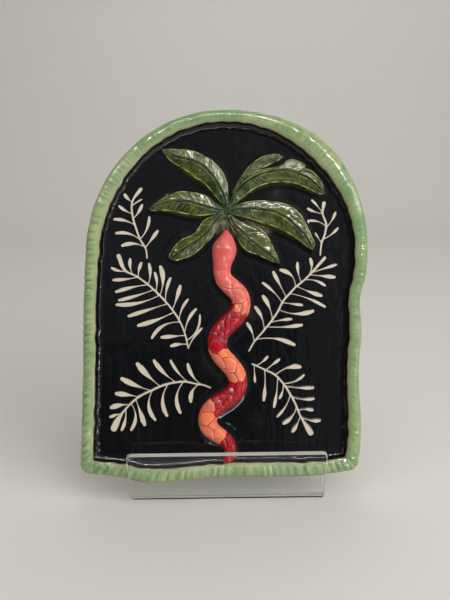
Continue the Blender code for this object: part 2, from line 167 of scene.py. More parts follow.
def addPiece(name, points, faces, materials, values=None, kinds=None, sharp=None):
    # A mesh from whole arrays, its faces turned outwards; values are named numbers at the points.
    mesh = bpy.data.meshes.new(name)
    mesh.from_pydata(points.tolist(), [], [list(map(int, f)) for f in faces])
    for key, value in (values or {}).items():
        kind, entry = layerKinds[value.shape[1] if value.ndim == 2 else 1]
        layer = mesh.attributes.new(key, kind, "POINT")
        layer.data.foreach_set(entry, np.ascontiguousarray(value, dtype=np.float32).ravel())
    for material in materials:
        mesh.materials.append(material)
    if kinds is not None:
        mesh.polygons.foreach_set("material_index", np.asarray(kinds, dtype=np.int32))
    shape = bmesh.new()
    shape.from_mesh(mesh)
    bmesh.ops.recalc_face_normals(shape, faces=shape.faces)
    shape.to_mesh(mesh)
    shape.free()
    mesh.shade_smooth()
    if sharp is not None:
        mesh.set_sharp_from_angle(angle=math.radians(sharp))
    made = bpy.data.objects.new(name, mesh)
    bpy.context.scene.collection.objects.link(made)
    return made


def belongs(piece, node):
    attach(piece, "root")
    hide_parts(node)
    return piece


def addToPlaque(name, points, faces, material, values):
    # Points in millimetres, kept as "spot" for the materials, then moved to where the plaque stands.
    points = points.reshape(-1, 3)
    piece = addPiece(name, onPlaque(points), faces, [material], {"spot": points, **values})
    return belongs(piece, "plaque")


# Materials


def shade(r, g, b):
    # A colour as it is read on a screen, 0 to 255, as the plain light values that a shader takes.
    c = np.array([r, g, b]) / 255
    return (*np.where(c < 0.04045, c / 12.92, ((c + 0.055) / 1.055) ** 2.4), 1.0)


class Recipe:
    # A material and short names for the nodes that it is mixed from.
    def __init__(self, name, **plain):
        self.material = bpy.data.materials.new(name)
        self.material.use_nodes = True
        self.tree = self.material.node_tree
        self.shader = self.tree.nodes["Principled BSDF"]
        for key, value in plain.items():
            self.shader.inputs[key.replace("_", " ")].default_value = value

    def node(self, kind, **settings):
        made = self.tree.nodes.new(kind)
        for key, value in settings.items():
            setattr(made, key, value)
        return made

    def put(self, socket, value):
        if isinstance(value, bpy.types.NodeSocket):
            self.tree.links.new(value, socket)
        else:
            socket.default_value = value

    def value(self, name):
        return self.node("ShaderNodeAttribute", attribute_name=name).outputs["Fac"]

    def colour(self, name):
        return self.node("ShaderNodeAttribute", attribute_name=name).outputs["Color"]

    def place(self, stretch=(1, 1, 1), name="spot"):
        made = self.node("ShaderNodeMapping")
        point = self.node("ShaderNodeAttribute", attribute_name=name).outputs["Vector"]
        self.put(made.inputs["Vector"], point)
        made.inputs["Scale"].default_value = stretch
        return made.outputs["Vector"]

    def noise(self, vector, scale, detail=3.0, rough=0.5):
        made = self.node("ShaderNodeTexNoise")
        self.put(made.inputs["Vector"], vector)
        made.inputs["Scale"].default_value = scale
        made.inputs["Detail"].default_value = detail
        made.inputs["Roughness"].default_value = rough
        return made.outputs["Fac"]

    def math(self, operation, a, b):
        made = self.node("ShaderNodeMath", operation=operation)
        self.put(made.inputs[0], a)
        self.put(made.inputs[1], b)
        return made.outputs[0]

    def sum(self, *parts):
        # Values added up, each times its own factor.
        total, *others = [self.math("MULTIPLY", value, factor) for value, factor in parts]
        for part in others:
            total = self.math("ADD", total, part)
        return total

    def between(self, value, low, high, to=(0.0, 1.0)):
        made = self.node("ShaderNodeMapRange", interpolation_type="SMOOTHSTEP")
        self.put(made.inputs["Value"], value)
        for key, number in zip(("From Min", "From Max", "To Min", "To Max"), (low, high, *to)):
            made.inputs[key].default_value = number
        return made.outputs["Result"]

    def mix(self, share, a, b, how="MIX"):
        made = self.node("ShaderNodeMix", data_type="RGBA", blend_type=how)
        self.put(made.inputs[0], share)
        self.put(made.inputs[6], a)
        self.put(made.inputs[7], b)
        return made.outputs[2]

    def over(self, colour, value, low, high, paint, most=1.0):
        # The paint over the colour, nothing of it where the value is low and most where it is high.
        return self.mix(self.between(value, low, high, (0.0, most)), colour, shade(*paint))

    def bump(self, height, strength=0.8):
        # The height is in millimetres.
        made = self.node("ShaderNodeBump")
        self.put(made.inputs["Height"], height)
        made.inputs["Distance"].default_value = 0.001
        made.inputs["Strength"].default_value = strength
        return made.outputs["Normal"]

    def finish(self, colour=None, roughness=None, normal=None):
        for key, value in (("Base Color", colour), ("Roughness", roughness), ("Normal", normal)):
            if value is not None:
                self.put(self.shader.inputs[key], value)
        return self.material


def blackGlaze():
    # Deep gloss with faint brush streaks; where the strokes run it is scratched to the matt cream clay, with
    # painted shade darkening the cream towards each stroke's edge.
    r = Recipe("black_glaze", IOR=1.5)
    spot, stroke = r.place(), r.value("stroke")
    streak = r.noise(r.place((0.28, 0.03, 0.3)), 1.0, 3.0, 0.6)
    brush = r.math("MULTIPLY", r.between(streak, 0.44, 0.76), r.value("brush"))
    black = r.mix(brush, shade(3, 3, 5), shade(12, 13, 17))
    patches = r.between(r.noise(spot, 0.5, 4.0), 0.35, 0.65, (0.25, 1.0))
    black = r.mix(r.math("MULTIPLY", r.value("smear"), patches), black, shade(140, 122, 98))
    cream = r.mix(r.noise(spot, 2.2, 3.0), shade(198, 185, 163), shade(182, 168, 145))
    # Painted shade: the cream darkens towards each stroke's edge, where the wall of the scratched groove is.
    cream = r.over(cream, stroke, -0.40, -0.10, (150, 136, 114), 0.40)
    scratched = r.between(stroke, -0.18, -0.04, (1.0, 0.0))
    dips = r.noise(r.place((0.16, 0.08, 0.16)), 1.0, 1.0)
    height = r.sum((scratched, -0.30), (dips, 0.40), (r.noise(spot, 0.5, 0.0), 0.03))
    rough = r.between(scratched, 0.0, 1.0, (0.08, 0.60))
    return r.finish(r.mix(scratched, black, cream), rough, r.bump(height))


def rimGlaze():
    # Celadon over pressed clay: deep green in the hollows, yellow where thin, black down the inside.
    r = Recipe("rim_glaze", Roughness=0.095, IOR=1.46)
    spot, across, hollow = r.place(), r.value("across"), r.value("hollow")
    patch = r.between(r.noise(spot, 0.04, 3.0, 0.6), 0.36, 0.62)
    pale = r.mix(patch, shade(156, 164, 120), shade(130, 155, 108))
    deep = r.mix(patch, shade(138, 150, 105), shade(112, 139, 92))
    green = r.mix(r.value("pale"), deep, pale)
    green = r.over(green, r.noise(spot, 0.09, 2.0), 0.60, 0.74, (84, 124, 78), 0.6)
    green = r.over(green, hollow, 0.0, 1.1, (82, 120, 72), 0.62)
    green = r.over(green, hollow, -0.1, -1.1, (166, 164, 122), 0.42)
    ribs = r.noise(r.place((0.46, 0.46, 0.03), "run"), 1.0, 0.0)
    marked = r.math("MULTIPLY", r.between(across, 0.10, 0.32), r.between(across, 0.80, 0.55))
    marked = r.math("MULTIPLY", r.between(ribs, 0.50, 0.36, (0.0, 0.42)), marked)
    green = r.mix(marked, green, shade(78, 114, 68))
    green = r.over(green, r.noise(spot, 0.7, 3.0, 0.6), 0.60, 0.78, (172, 182, 140), 0.20)
    green = r.over(green, across, 0.68, 0.94, (132, 130, 92), 0.7)
    thin = r.sum((across, 1.0), (r.noise(spot, 0.20, 3.0), 0.07))
    green = r.over(green, thin, 0.95, 0.985, (88, 74, 52))
    green = r.over(green, thin, 0.986, 1.004, (5, 5, 8))
    height = r.sum((r.noise(spot, 0.34, 0.0), 0.22), (ribs, 0.24))
    return r.finish(green, None, r.bump(height, 0.7))


def bareClay():
    # The unglazed back: warm buff clay with fine grog and long wiping marks.
    r = Recipe("bare_clay", Roughness=0.85, IOR=1.45)
    spot = r.place()
    grog = r.noise(spot, 1.6, 2.0, 0.7)
    clay = r.mix(r.noise(spot, 0.05, 4.0, 0.6), shade(196, 176, 150), shade(172, 150, 124))
    clay = r.over(clay, grog, 0.60, 0.72, (120, 98, 78), 0.5)
    wipe = r.noise(r.place((0.03, 0.6, 0.3)), 1.0, 4.0)
    return r.finish(clay, None, r.bump(r.sum((wipe, 0.35), (grog, 0.12))))


def leafGlaze():
    # Olive glaze that breaks to cream along edges and ridges and pools dark in veins and rib; painted shade
    # darkens the half of each leaf that faces down.
    r = Recipe("leaf_glaze", Roughness=0.095, IOR=1.46)
    spot, foot = r.place(), r.value("foot")
    cloud = r.between(r.noise(spot, 0.18, 4.0, 0.6), 0.36, 0.64)
    # Painted shade: the half of each leaf that faces down (the under value) takes the darker olive, as if lit
    # from above.
    upper = r.mix(cloud, shade(48, 60, 9), shade(78, 87, 24))
    lower = r.mix(cloud, shade(33, 44, 5), shade(74, 84, 24))
    olive = r.mix(r.value("under"), upper, lower)
    olive = r.over(olive, r.noise(spot, 1.1, 4.0, 0.7), 0.54, 0.76, (134, 134, 76), 0.34)
    olive = r.over(olive, r.value("ridge"), 0.25, 1.0, (178, 168, 100))
    olive = r.over(olive, r.value("groove"), 0.1, 0.9, (14, 24, 6))
    olive = r.over(olive, r.value("heart"), 0.0, 1.0, (28, 56, 36), 0.65)
    # Painted shade down the side wall to the field, over glaze pooled thick there.
    olive = r.over(olive, foot, 0.25, 0.7, (40, 50, 8))
    olive = r.over(olive, foot, 0.90, 0.98, (176, 162, 128))
    return r.finish(olive, None, r.bump(r.sum((r.noise(spot, 0.32, 0.0), 0.30))))


def snakeGlaze():
    # Bands of pink, coral, red and orange glaze laid plate by plate, paler on the raised edges.
    r = Recipe("snake_glaze", Roughness=0.095, IOR=1.46)
    spot, tint = r.place(), r.colour("tint")
    cloud = r.between(r.noise(spot, 0.14, 4.0, 0.6), 0.40, 0.66, (0.0, 0.40))
    colour = r.mix(cloud, tint, r.mix(1.0, tint, shade(236, 214, 190), "MULTIPLY"))
    colour = r.over(colour, r.value("ridge"), 0.2, 1.0, (240, 170, 156), 0.30)
    colour = r.over(colour, r.value("groove"), 0.2, 1.0, (116, 10, 12), 0.62)
    return r.finish(colour, None, r.bump(r.sum((r.noise(spot, 0.40, 0.0), 0.26))))


# Outline of the plaque

outline = {
    "width": 197.0,
    "springHeight": 157.0,
    "corner": 7.0,
    "cornerShrink": 0.42,
    "archShift": 4.2,
    "thickness": 9.1,
    "coilWidth": 9.5,
    # u, v, how far out, how much wider the coil, half length
    "swells": (
        (-50, 0, 5.0, 1.0, 17), (-20, 0, 2.0, 0.4, 18), (40, 0, 1.2, 1.4, 30), (98, 0, -3.0, 0.0, 13),
        (94, 40, -0.9, 0.4, 18), (94, 72, -3.4, -0.3, 19), (96, 100, -1.2, -0.2, 14),
        (97, 121, -4.0, -0.6, 10), (72, 229, 3.4, 5.6, 30), (8, 255, -0.7, -0.6, 20),
        (-80, 200, -0.4, 2.2, 34), (-96, 125, 1.1, 0.0, 30),
    ),
    "sideSteps": 270,
    "archSteps": 540,
    "cornerSteps": 16,
    "footSteps": 300,
}


def edgeStations(inset=0.0):
    # Points and outward directions round the even arch drawn in by the inset, anticlockwise from the right.
    o = outline
    half = o["width"] / 2 - inset
    corner = o["corner"] - o["cornerShrink"] * inset
    foot = inset + corner
    side = np.arange(o["sideSteps"]) / o["sideSteps"]
    arch = np.pi * np.arange(o["archSteps"]) / o["archSteps"]
    bend = np.pi / 2 * np.arange(o["cornerSteps"]) / o["cornerSteps"]
    base = np.arange(o["footSteps"]) / o["footSteps"]
    rise = (o["springHeight"] - foot) * side
    still = np.zeros_like(side)
    left, right = np.pi + bend, 1.5 * np.pi + bend
    u = (still + half, half * np.cos(arch), still - half)
    u += (corner - half + corner * np.cos(left), (corner - half) * (1 - 2 * base))
    u += (half - corner + corner * np.cos(right),)
    v = (foot + rise, o["springHeight"] + half * np.sin(arch), o["springHeight"] - rise)
    v += (foot + corner * np.sin(left), np.zeros_like(base) + inset, foot + corner * np.sin(right))
    turn = np.concatenate([still, arch, still + np.pi, left, np.zeros_like(base) + 1.5 * np.pi, right])
    points = np.column_stack([np.concatenate(u), np.concatenate(v)])
    return points, np.column_stack([np.cos(turn), np.sin(turn)])


def edgeSwell(points):
    # Bell-shaped pushes: how far the edge goes out at each point, and how much wider the coil is there.
    out, wider = np.zeros(len(points)), np.zeros(len(points))
    for u, v, push, widening, halfLength in outline["swells"]:
        bell = np.exp(-0.5 * (np.hypot(points[:, 0] - u, points[:, 1] - v) / halfLength) ** 2)
        out, wider = out + push * bell, wider + widening * bell
    return out, wider


def edgeRing(inset, share=0.0):
    # The wandering edge itself, drawn in by a fixed inset and a share of the coil's width.
    out, wider = edgeSwell(edgeStations()[0])
    points, outward = edgeStations(inset + share * outline["coilWidth"])
    points = points + outward * (out - share * wider)[:, None]
    lean = outline["archShift"] * (np.clip(points[:, 1] / outline["springHeight"], 0, 1) - 0.5)
    return points + np.column_stack([lean, np.zeros(len(points))])


# Rim

rim = {
    # share of the coil's width inwards, inset, height over the slab
    "profile": (
        (1.0, 5.2, -0.45), (1.0, 4.2, -0.10), (1.0, 3.2, 0.12), (1.0, 2.3, 0.42), (1.0, 1.4, 0.98),
        (1.0, 0.6, 1.85), (0.995, 0.15, 2.7), (0.955, 0.0, 3.42), (0.89, 0.0, 4.0), (0.79, 0.0, 4.52),
        (0.66, 0.0, 4.88), (0.52, 0.0, 5.0), (0.37, 0.0, 4.86), (0.24, 0.0, 4.38), (0.13, 0.0, 3.6),
        (0.05, 0.0, 2.5), (0.01, 0.0, 1.2), (0.0, 0.0, -0.4), (0.0, 0.0, -3.4), (0.0, 0.02, -6.8),
    ),
    "profileSteps": 56,
    # how far the inner foot wanders, and how many waves go round the plaque
    "wander": 0.26,
    "wanderBeats": (31, 44, 57, 71),
    "topReach": 0.28,
    "toolGap": 5.5,
    "fineGap": 1.9,
    "toolDepth": 0.24,
    "fineDepth": 0.10,
    # where the upright coils butt on the bottom one: both ends of each crease
    "joints": (((-90.2, 10.5), (-91.0, 1.5)), ((90.6, 12.5), (92.6, 3.5))),
    "jointDepth": 0.45,
    "jointHalf": 1.1,
    "lump": 0.24,
    # the rings that the marks are measured along and that tells which way is out
    "measuredRing": -8,
    "crestRing": 26,
    # from the coil down and under the slab, back to where the profile starts: share, inset, height
    "under": ((0.0, 1.6, -7.0), (0.5, 0.0, -6.8), (1.0, 3.0, -5.0)),
}


def rimGrid():
    # Each profile point carried round the edge; under the top the inner fillet reaches further in.
    profile = curveThrough(np.array(rim["profile"]) * (outline["coilWidth"], 1, 1), rim["profileSteps"])
    start, outward = edgeStations()
    further = rim["topReach"] * ease(start[:, 1], 195, 248)
    way = 2 * np.pi * np.arange(len(start)) / len(start)
    wander = sum(np.sin(beats * way + beats * 1.7) for beats in rim["wanderBeats"]) / 2
    rings = []
    for reach, inset, height in profile:
        share = reach / outline["coilWidth"]
        drift = max(inset, 0) * further + rim["wander"] * wander * ease(share, 0.6, 0.95)
        ring = edgeRing(inset, share) - outward * drift[:, None]
        rings.append(level(ring, outline["thickness"] + height))
    return np.stack(rings, axis=1), profile[:, 0] / outline["coilWidth"]


def toolMarks(grid, across):
    # Pressed notches as narrowed cosines, wide ones at the left and below and fine ones over the arch.
    edge = grid[:, rim["measuredRing"], :2]
    length = np.insert(np.cumsum(np.linalg.norm(np.diff(edge, axis=0), axis=1)), 0, 0)
    u, v = edge[:, 0], edge[:, 1]
    low = ease(v, 20, 6)
    leftSide = ease(u, -78, -90) * ease(v, 195, 150)
    rightSide = ease(u, 80, 90) * ease(v, 215, 170)
    wide = np.clip(0.10 + 0.95 * low + 0.85 * leftSide + 0.30 * rightSide, 0, 1)
    fine = np.clip(1.0 - low - 0.7 * leftSide, 0.15, 1)
    beat = np.cos(2 * np.pi * (length / rim["toolGap"] + 0.30 * ripple(length, 70)))
    beat = 2 * ((1 + beat) / 2) ** 1.7 - 0.8
    fineBeat = np.cos(2 * np.pi * (length / rim["fineGap"] + 0.4 * ripple(length, 30)))
    wideCut = beat * wide * np.clip(0.75 + 0.35 * ripple(length, 24), 0.15, 1.3)
    fineCut = fineBeat * fine * np.clip(0.5 + 0.6 * ripple(length, 35), 0, 1.2)
    outer = ease(across, 0.66, 0.34) * ease(across, -0.15, 0.06)
    whole = ease(across, 0.88, 0.62) * ease(across, -0.15, 0.06)
    reach = outer[None, :] * (1 - low)[:, None] + whole[None, :] * low[:, None]
    middle = bell(across - 0.42, 0.24)[None, :]
    hollow = wideCut[:, None] * reach + 0.45 * fineCut[:, None] * middle
    depth = rim["toolDepth"] * wideCut[:, None] * reach + rim["fineDepth"] * fineCut[:, None] * middle
    for joint in rim["joints"]:
        away = strokeDistance(grid[..., :2].reshape(-1, 2), np.array(joint), np.zeros(2))
        crease = bell(away.reshape(depth.shape), rim["jointHalf"])
        hollow, depth = hollow + crease, depth + rim["jointDepth"] * crease
    lump = rim["lump"] * ripple(length, 34)[:, None] * bell(across - 0.45, 0.45)[None, :]
    return hollow, lump - depth, length


def makeRim(material):
    grid, across = rimGrid()
    # The low part of the fillet counts as past the coil, where the glaze is black.
    shares = np.broadcast_to(across, grid.shape[:2])
    shares = np.where((grid[:, :, 2] < outline["thickness"] + 2.4) & (shares > 0.5), 1.05, shares)
    hollow, push, length = toolMarks(grid, across)
    # The way round the rim as a circle, so that the fine ribs meet where it closes.
    arm = length[-1] / (2 * np.pi)
    run = np.stack([arm * np.cos(length / arm), arm * np.sin(length / arm), 0 * length], axis=1)
    run = run[:, None, :] + np.array([0, 0, outline["coilWidth"]]) * shares[:, :, None]
    step = np.arange(grid.shape[1])
    fade = ease(step, 6, 14) * ease(grid.shape[1] - step, 0, 4)
    pale = np.clip(0.15 + ease(grid[..., 0], -50, -85) + 0.7 * ease(grid[..., 1], 24, 6), 0, 1)
    normals = gridNormals(grid)
    facing = np.sign(normals[:, rim["crestRing"], 2].mean())
    grid = grid + normals * (push * fade[None, :] * facing)[:, :, None]
    under = [level(edgeRing(inset, share), outline["thickness"] + w) for share, inset, w in rim["under"]]
    full = np.concatenate([grid, np.stack(under, axis=1)], axis=1)
    extra = len(under)
    values = {
        "run": np.pad(run, ((0, 0), (0, extra), (0, 0)), mode="edge").reshape(-1, 3),
        "across": carried(shares, extra),
        "hollow": carried(hollow, extra),
        "pale": carried(pale, extra),
    }
    faces = gridQuads(*full.shape[:2], closedRows=True, closedColumns=True)
    return addToPlaque("rim_coil", full, faces, material, values)


# Fronds scratched through the black

scratch = {"rootHalf": 0.46, "stemHalf": 0.80, "depth": 0.16, "onset": (0.22, 0.78)}
fronds = {
    # stem points and half width at its end; each leaflet's share along the stem, tip, bow and half width
    "upperLeft": {
        "stem": (
            (-54.0, 151.1), (-55.1, 158.2), (-58.3, 163.2), (-61.9, 172.5), (-64.0, 179.7), (-64.5, 190.4),
            (-57.9, 200.2),
        ),
        "stemEnd": 1.32,
        "leaflets": (
            (0.147, -72.2, 160.0, -0.12, 1.51), (0.254, -76.2, 168.9, -0.12, 1.32),
            (0.466, -77.6, 178.6, -0.08, 1.32), (0.623, -74.0, 187.9, 0.05, 1.18),
            (0.777, -70.4, 196.4, 0.05, 1.32), (0.723, -57.6, 192.5, 0.03, 0.66),
            (0.557, -57.2, 188.9, -0.05, 1.25), (0.275, -52.2, 180.4, -0.10, 1.18),
            (0.140, -46.2, 170.7, 0.00, 1.38),
        ),
    },
    "middleLeft": {
        "stem": (
            (-25.1, 87.8), (-27.1, 96.8), (-31.1, 106.9), (-35.8, 114.2), (-41.9, 121.6), (-47.2, 127.0),
            (-53.9, 133.0), (-61.3, 138.3), (-69.3, 142.4), (-74.0, 152.7),
        ),
        "stemEnd": 1.58,
        "leaflets": (
            (0.796, -66.0, 151.1, 0.08, 1.32), (0.744, -57.9, 148.4, 0.06, 1.32),
            (0.642, -52.6, 147.7, -0.08, 1.32), (0.555, -48.6, 141.4, -0.08, 1.25),
            (0.510, -44.5, 146.0, -0.10, 1.84), (0.440, -37.5, 137.7, 0.06, 1.25),
            (0.351, -30.5, 132.3, -0.02, 1.58), (0.249, -25.1, 122.6, 0.08, 1.12),
            (0.129, -19.4, 115.9, 0.09, 1.25), (0.066, -16.7, 111.6, -0.15, 0.92),
            (0.000, -15.4, 102.2, 0.06, 1.12), (0.856, -79.4, 144.4, 0.08, 1.18),
            (0.749, -78.4, 135.7, 0.03, 1.32), (0.641, -76.4, 127.3, -0.03, 1.45),
            (0.579, -74.3, 121.3, 0.02, 1.38), (0.513, -76.0, 118.2, 0.07, 1.58),
            (0.416, -67.6, 110.2, 0.00, 1.51), (0.327, -60.9, 103.5, 0.03, 1.71),
            (0.228, -51.2, 94.8, -0.16, 1.38), (0.110, -44.5, 95.5, 0.00, 1.51),
            (0.034, -37.8, 89.4, -0.05, 1.38),
        ),
    },
    "lowerLeft": {
        "stem": (
            (-9.4, 60.0), (-15.1, 62.2), (-17.9, 62.5), (-27.2, 64.3), (-33.7, 63.9), (-43.7, 61.4),
            (-50.8, 58.2), (-59.4, 53.9), (-66.5, 47.9), (-72.2, 41.1), (-77.9, 30.4),
        ),
        "stemEnd": 2.37,
        "leaflets": (
            (0.084, -25.8, 77.2, 0.10, 1.45), (0.198, -37.9, 79.7, 0.06, 1.18),
            (0.299, -49.7, 79.7, 0.06, 1.71), (0.438, -61.5, 77.5, 0.03, 2.24),
            (0.522, -72.6, 66.8, 0.03, 2.04), (0.640, -76.5, 56.1, -0.02, 1.91),
            (0.741, -80.1, 46.1, -0.05, 1.91), (0.844, -80.4, 39.3, -0.05, 1.18),
            (0.107, -23.7, 49.7, -0.15, 1.65), (0.236, -30.8, 41.8, -0.17, 1.51),
            (0.366, -40.1, 39.7, -0.16, 1.58), (0.506, -48.3, 36.8, -0.18, 1.51),
            (0.673, -55.4, 33.2, 0.00, 1.84), (0.727, -65.1, 29.7, 0.17, 1.38),
            (0.790, -71.9, 29.7, 0.07, 1.32),
        ),
    },
    "upperRight": {
        "stem": ((67.6, 153.2), (68.6, 161.8), (71.1, 168.9), (71.8, 174.7), (69.3, 182.5), (70.4, 190.4)),
        "stemEnd": 1.38,
        "onset": (0.40, 0.88),
        "leaflets": (
            (0.792, 61.5, 192.2, -0.03, 1.05), (0.786, 58.3, 186.1, 0.05, 1.12),
            (0.538, 58.6, 177.5, -0.12, 1.05), (0.226, 64.0, 168.9, 0.00, 0.79),
            (0.521, 78.6, 183.6, -0.06, 1.18), (0.295, 80.4, 172.5, -0.06, 1.12),
        ),
    },
    "middleRight": {
        "stem": (
            (17.6, 85.9), (20.8, 91.7), (27.9, 100.2), (33.6, 107.4), (37.9, 113.8), (41.5, 120.9),
            (45.8, 125.9), (50.1, 130.6), (56.5, 135.9), (61.5, 140.9), (70.8, 151.3),
        ),
        "stemEnd": 1.12,
        "onset": (0.35, 0.86),
        "leaflets": (
            (0.084, 16.1, 105.9, -0.08, 1.32), (0.215, 21.8, 117.4, -0.09, 1.51),
            (0.324, 27.2, 125.2, -0.07, 1.71), (0.487, 26.8, 134.2, -0.05, 1.25),
            (0.544, 34.3, 142.0, 0.00, 1.51), (0.657, 39.3, 143.4, -0.20, 1.65),
            (0.719, 51.5, 148.4, 0.06, 1.25), (0.806, 60.8, 151.3, -0.11, 1.38),
            (0.836, 79.3, 146.7, 0.00, 1.25), (0.812, 78.3, 137.7, 0.00, 1.58),
            (0.753, 71.5, 131.7, 0.10, 1.18), (0.668, 69.0, 124.5, -0.02, 1.65),
            (0.585, 71.5, 116.7, 0.05, 1.25), (0.487, 55.4, 118.1, 0.00, 1.18),
            (0.423, 63.3, 113.8, -0.10, 1.78), (0.294, 47.9, 108.4, 0.03, 1.25),
            (0.250, 55.4, 104.2, -0.03, 1.51), (0.112, 50.1, 90.2, 0.09, 1.71),
        ),
    },
    "lowerRight": {
        "stem": (
            (19.7, 76.8), (22.9, 75.4), (29.3, 72.5), (36.1, 68.9), (41.5, 63.2), (45.8, 56.8),
            (50.1, 48.9), (53.6, 40.4), (61.5, 27.5),
        ),
        "stemEnd": 2.04,
        "onset": (0.40, 0.88),
        "leaflets": (
            (0.048, 31.1, 82.2, -0.05, 1.12), (0.157, 39.3, 80.4, 0.00, 1.25),
            (0.272, 54.3, 75.0, 0.12, 1.78), (0.388, 56.8, 69.3, -0.12, 1.05),
            (0.428, 63.3, 60.0, -0.03, 1.38), (0.561, 63.6, 52.2, -0.06, 1.25),
            (0.716, 62.9, 44.3, 0.08, 1.32), (0.790, 67.9, 36.8, -0.08, 1.38),
            (0.023, 21.8, 63.6, 0.00, 0.99), (0.143, 27.9, 50.7, 0.03, 1.45),
            (0.302, 35.1, 46.1, 0.03, 1.32), (0.391, 39.0, 52.2, 0.08, 1.12),
            (0.525, 37.2, 39.3, 0.08, 0.99), (0.668, 41.5, 34.3, 0.12, 1.58),
            (0.773, 47.9, 28.6, 0.06, 1.45),
        ),
    },
}


def frondStrokes():
    # Stems as smooth curves, leaflets as parabolas off them, each swelling to a round end.
    strokes = []
    for frond in fronds.values():
        stem = curveThrough(frond["stem"], 60)
        t = np.linspace(0, 1, 60)
        half = scratch["stemHalf"] * (0.75 + 0.25 * np.sin(np.pi * t))
        half = half + (frond["stemEnd"] - half) * ease(t, 0.80, 0.97)
        cut = int(np.argmax(np.linalg.norm(stem - stem[-1], axis=1) < frond["stemEnd"] * 0.9))
        strokes.append((stem[: cut + 1], half[: cut + 1]))
        for share, tipU, tipV, bow, end in frond["leaflets"]:
            root = curveThrough(frond["stem"], np.array([share]))[0]
            reach = np.array([tipU, tipV]) - root
            reach = reach * (1 - 0.55 * end / np.linalg.norm(reach))
            t = np.linspace(0, 1, 16)
            left = np.array([-reach[1], reach[0]])
            path = root + np.outer(t, reach) + np.outer(4 * bow * t * (1 - t), left)
            swell = ease(t, *frond.get("onset", scratch["onset"])) * (1 - 0.42 * ease(t, 0.82, 1))
            half = scratch["rootHalf"] + (end - scratch["rootHalf"]) * swell
            strokes.append((path, half))
    return strokes


# Palm crown

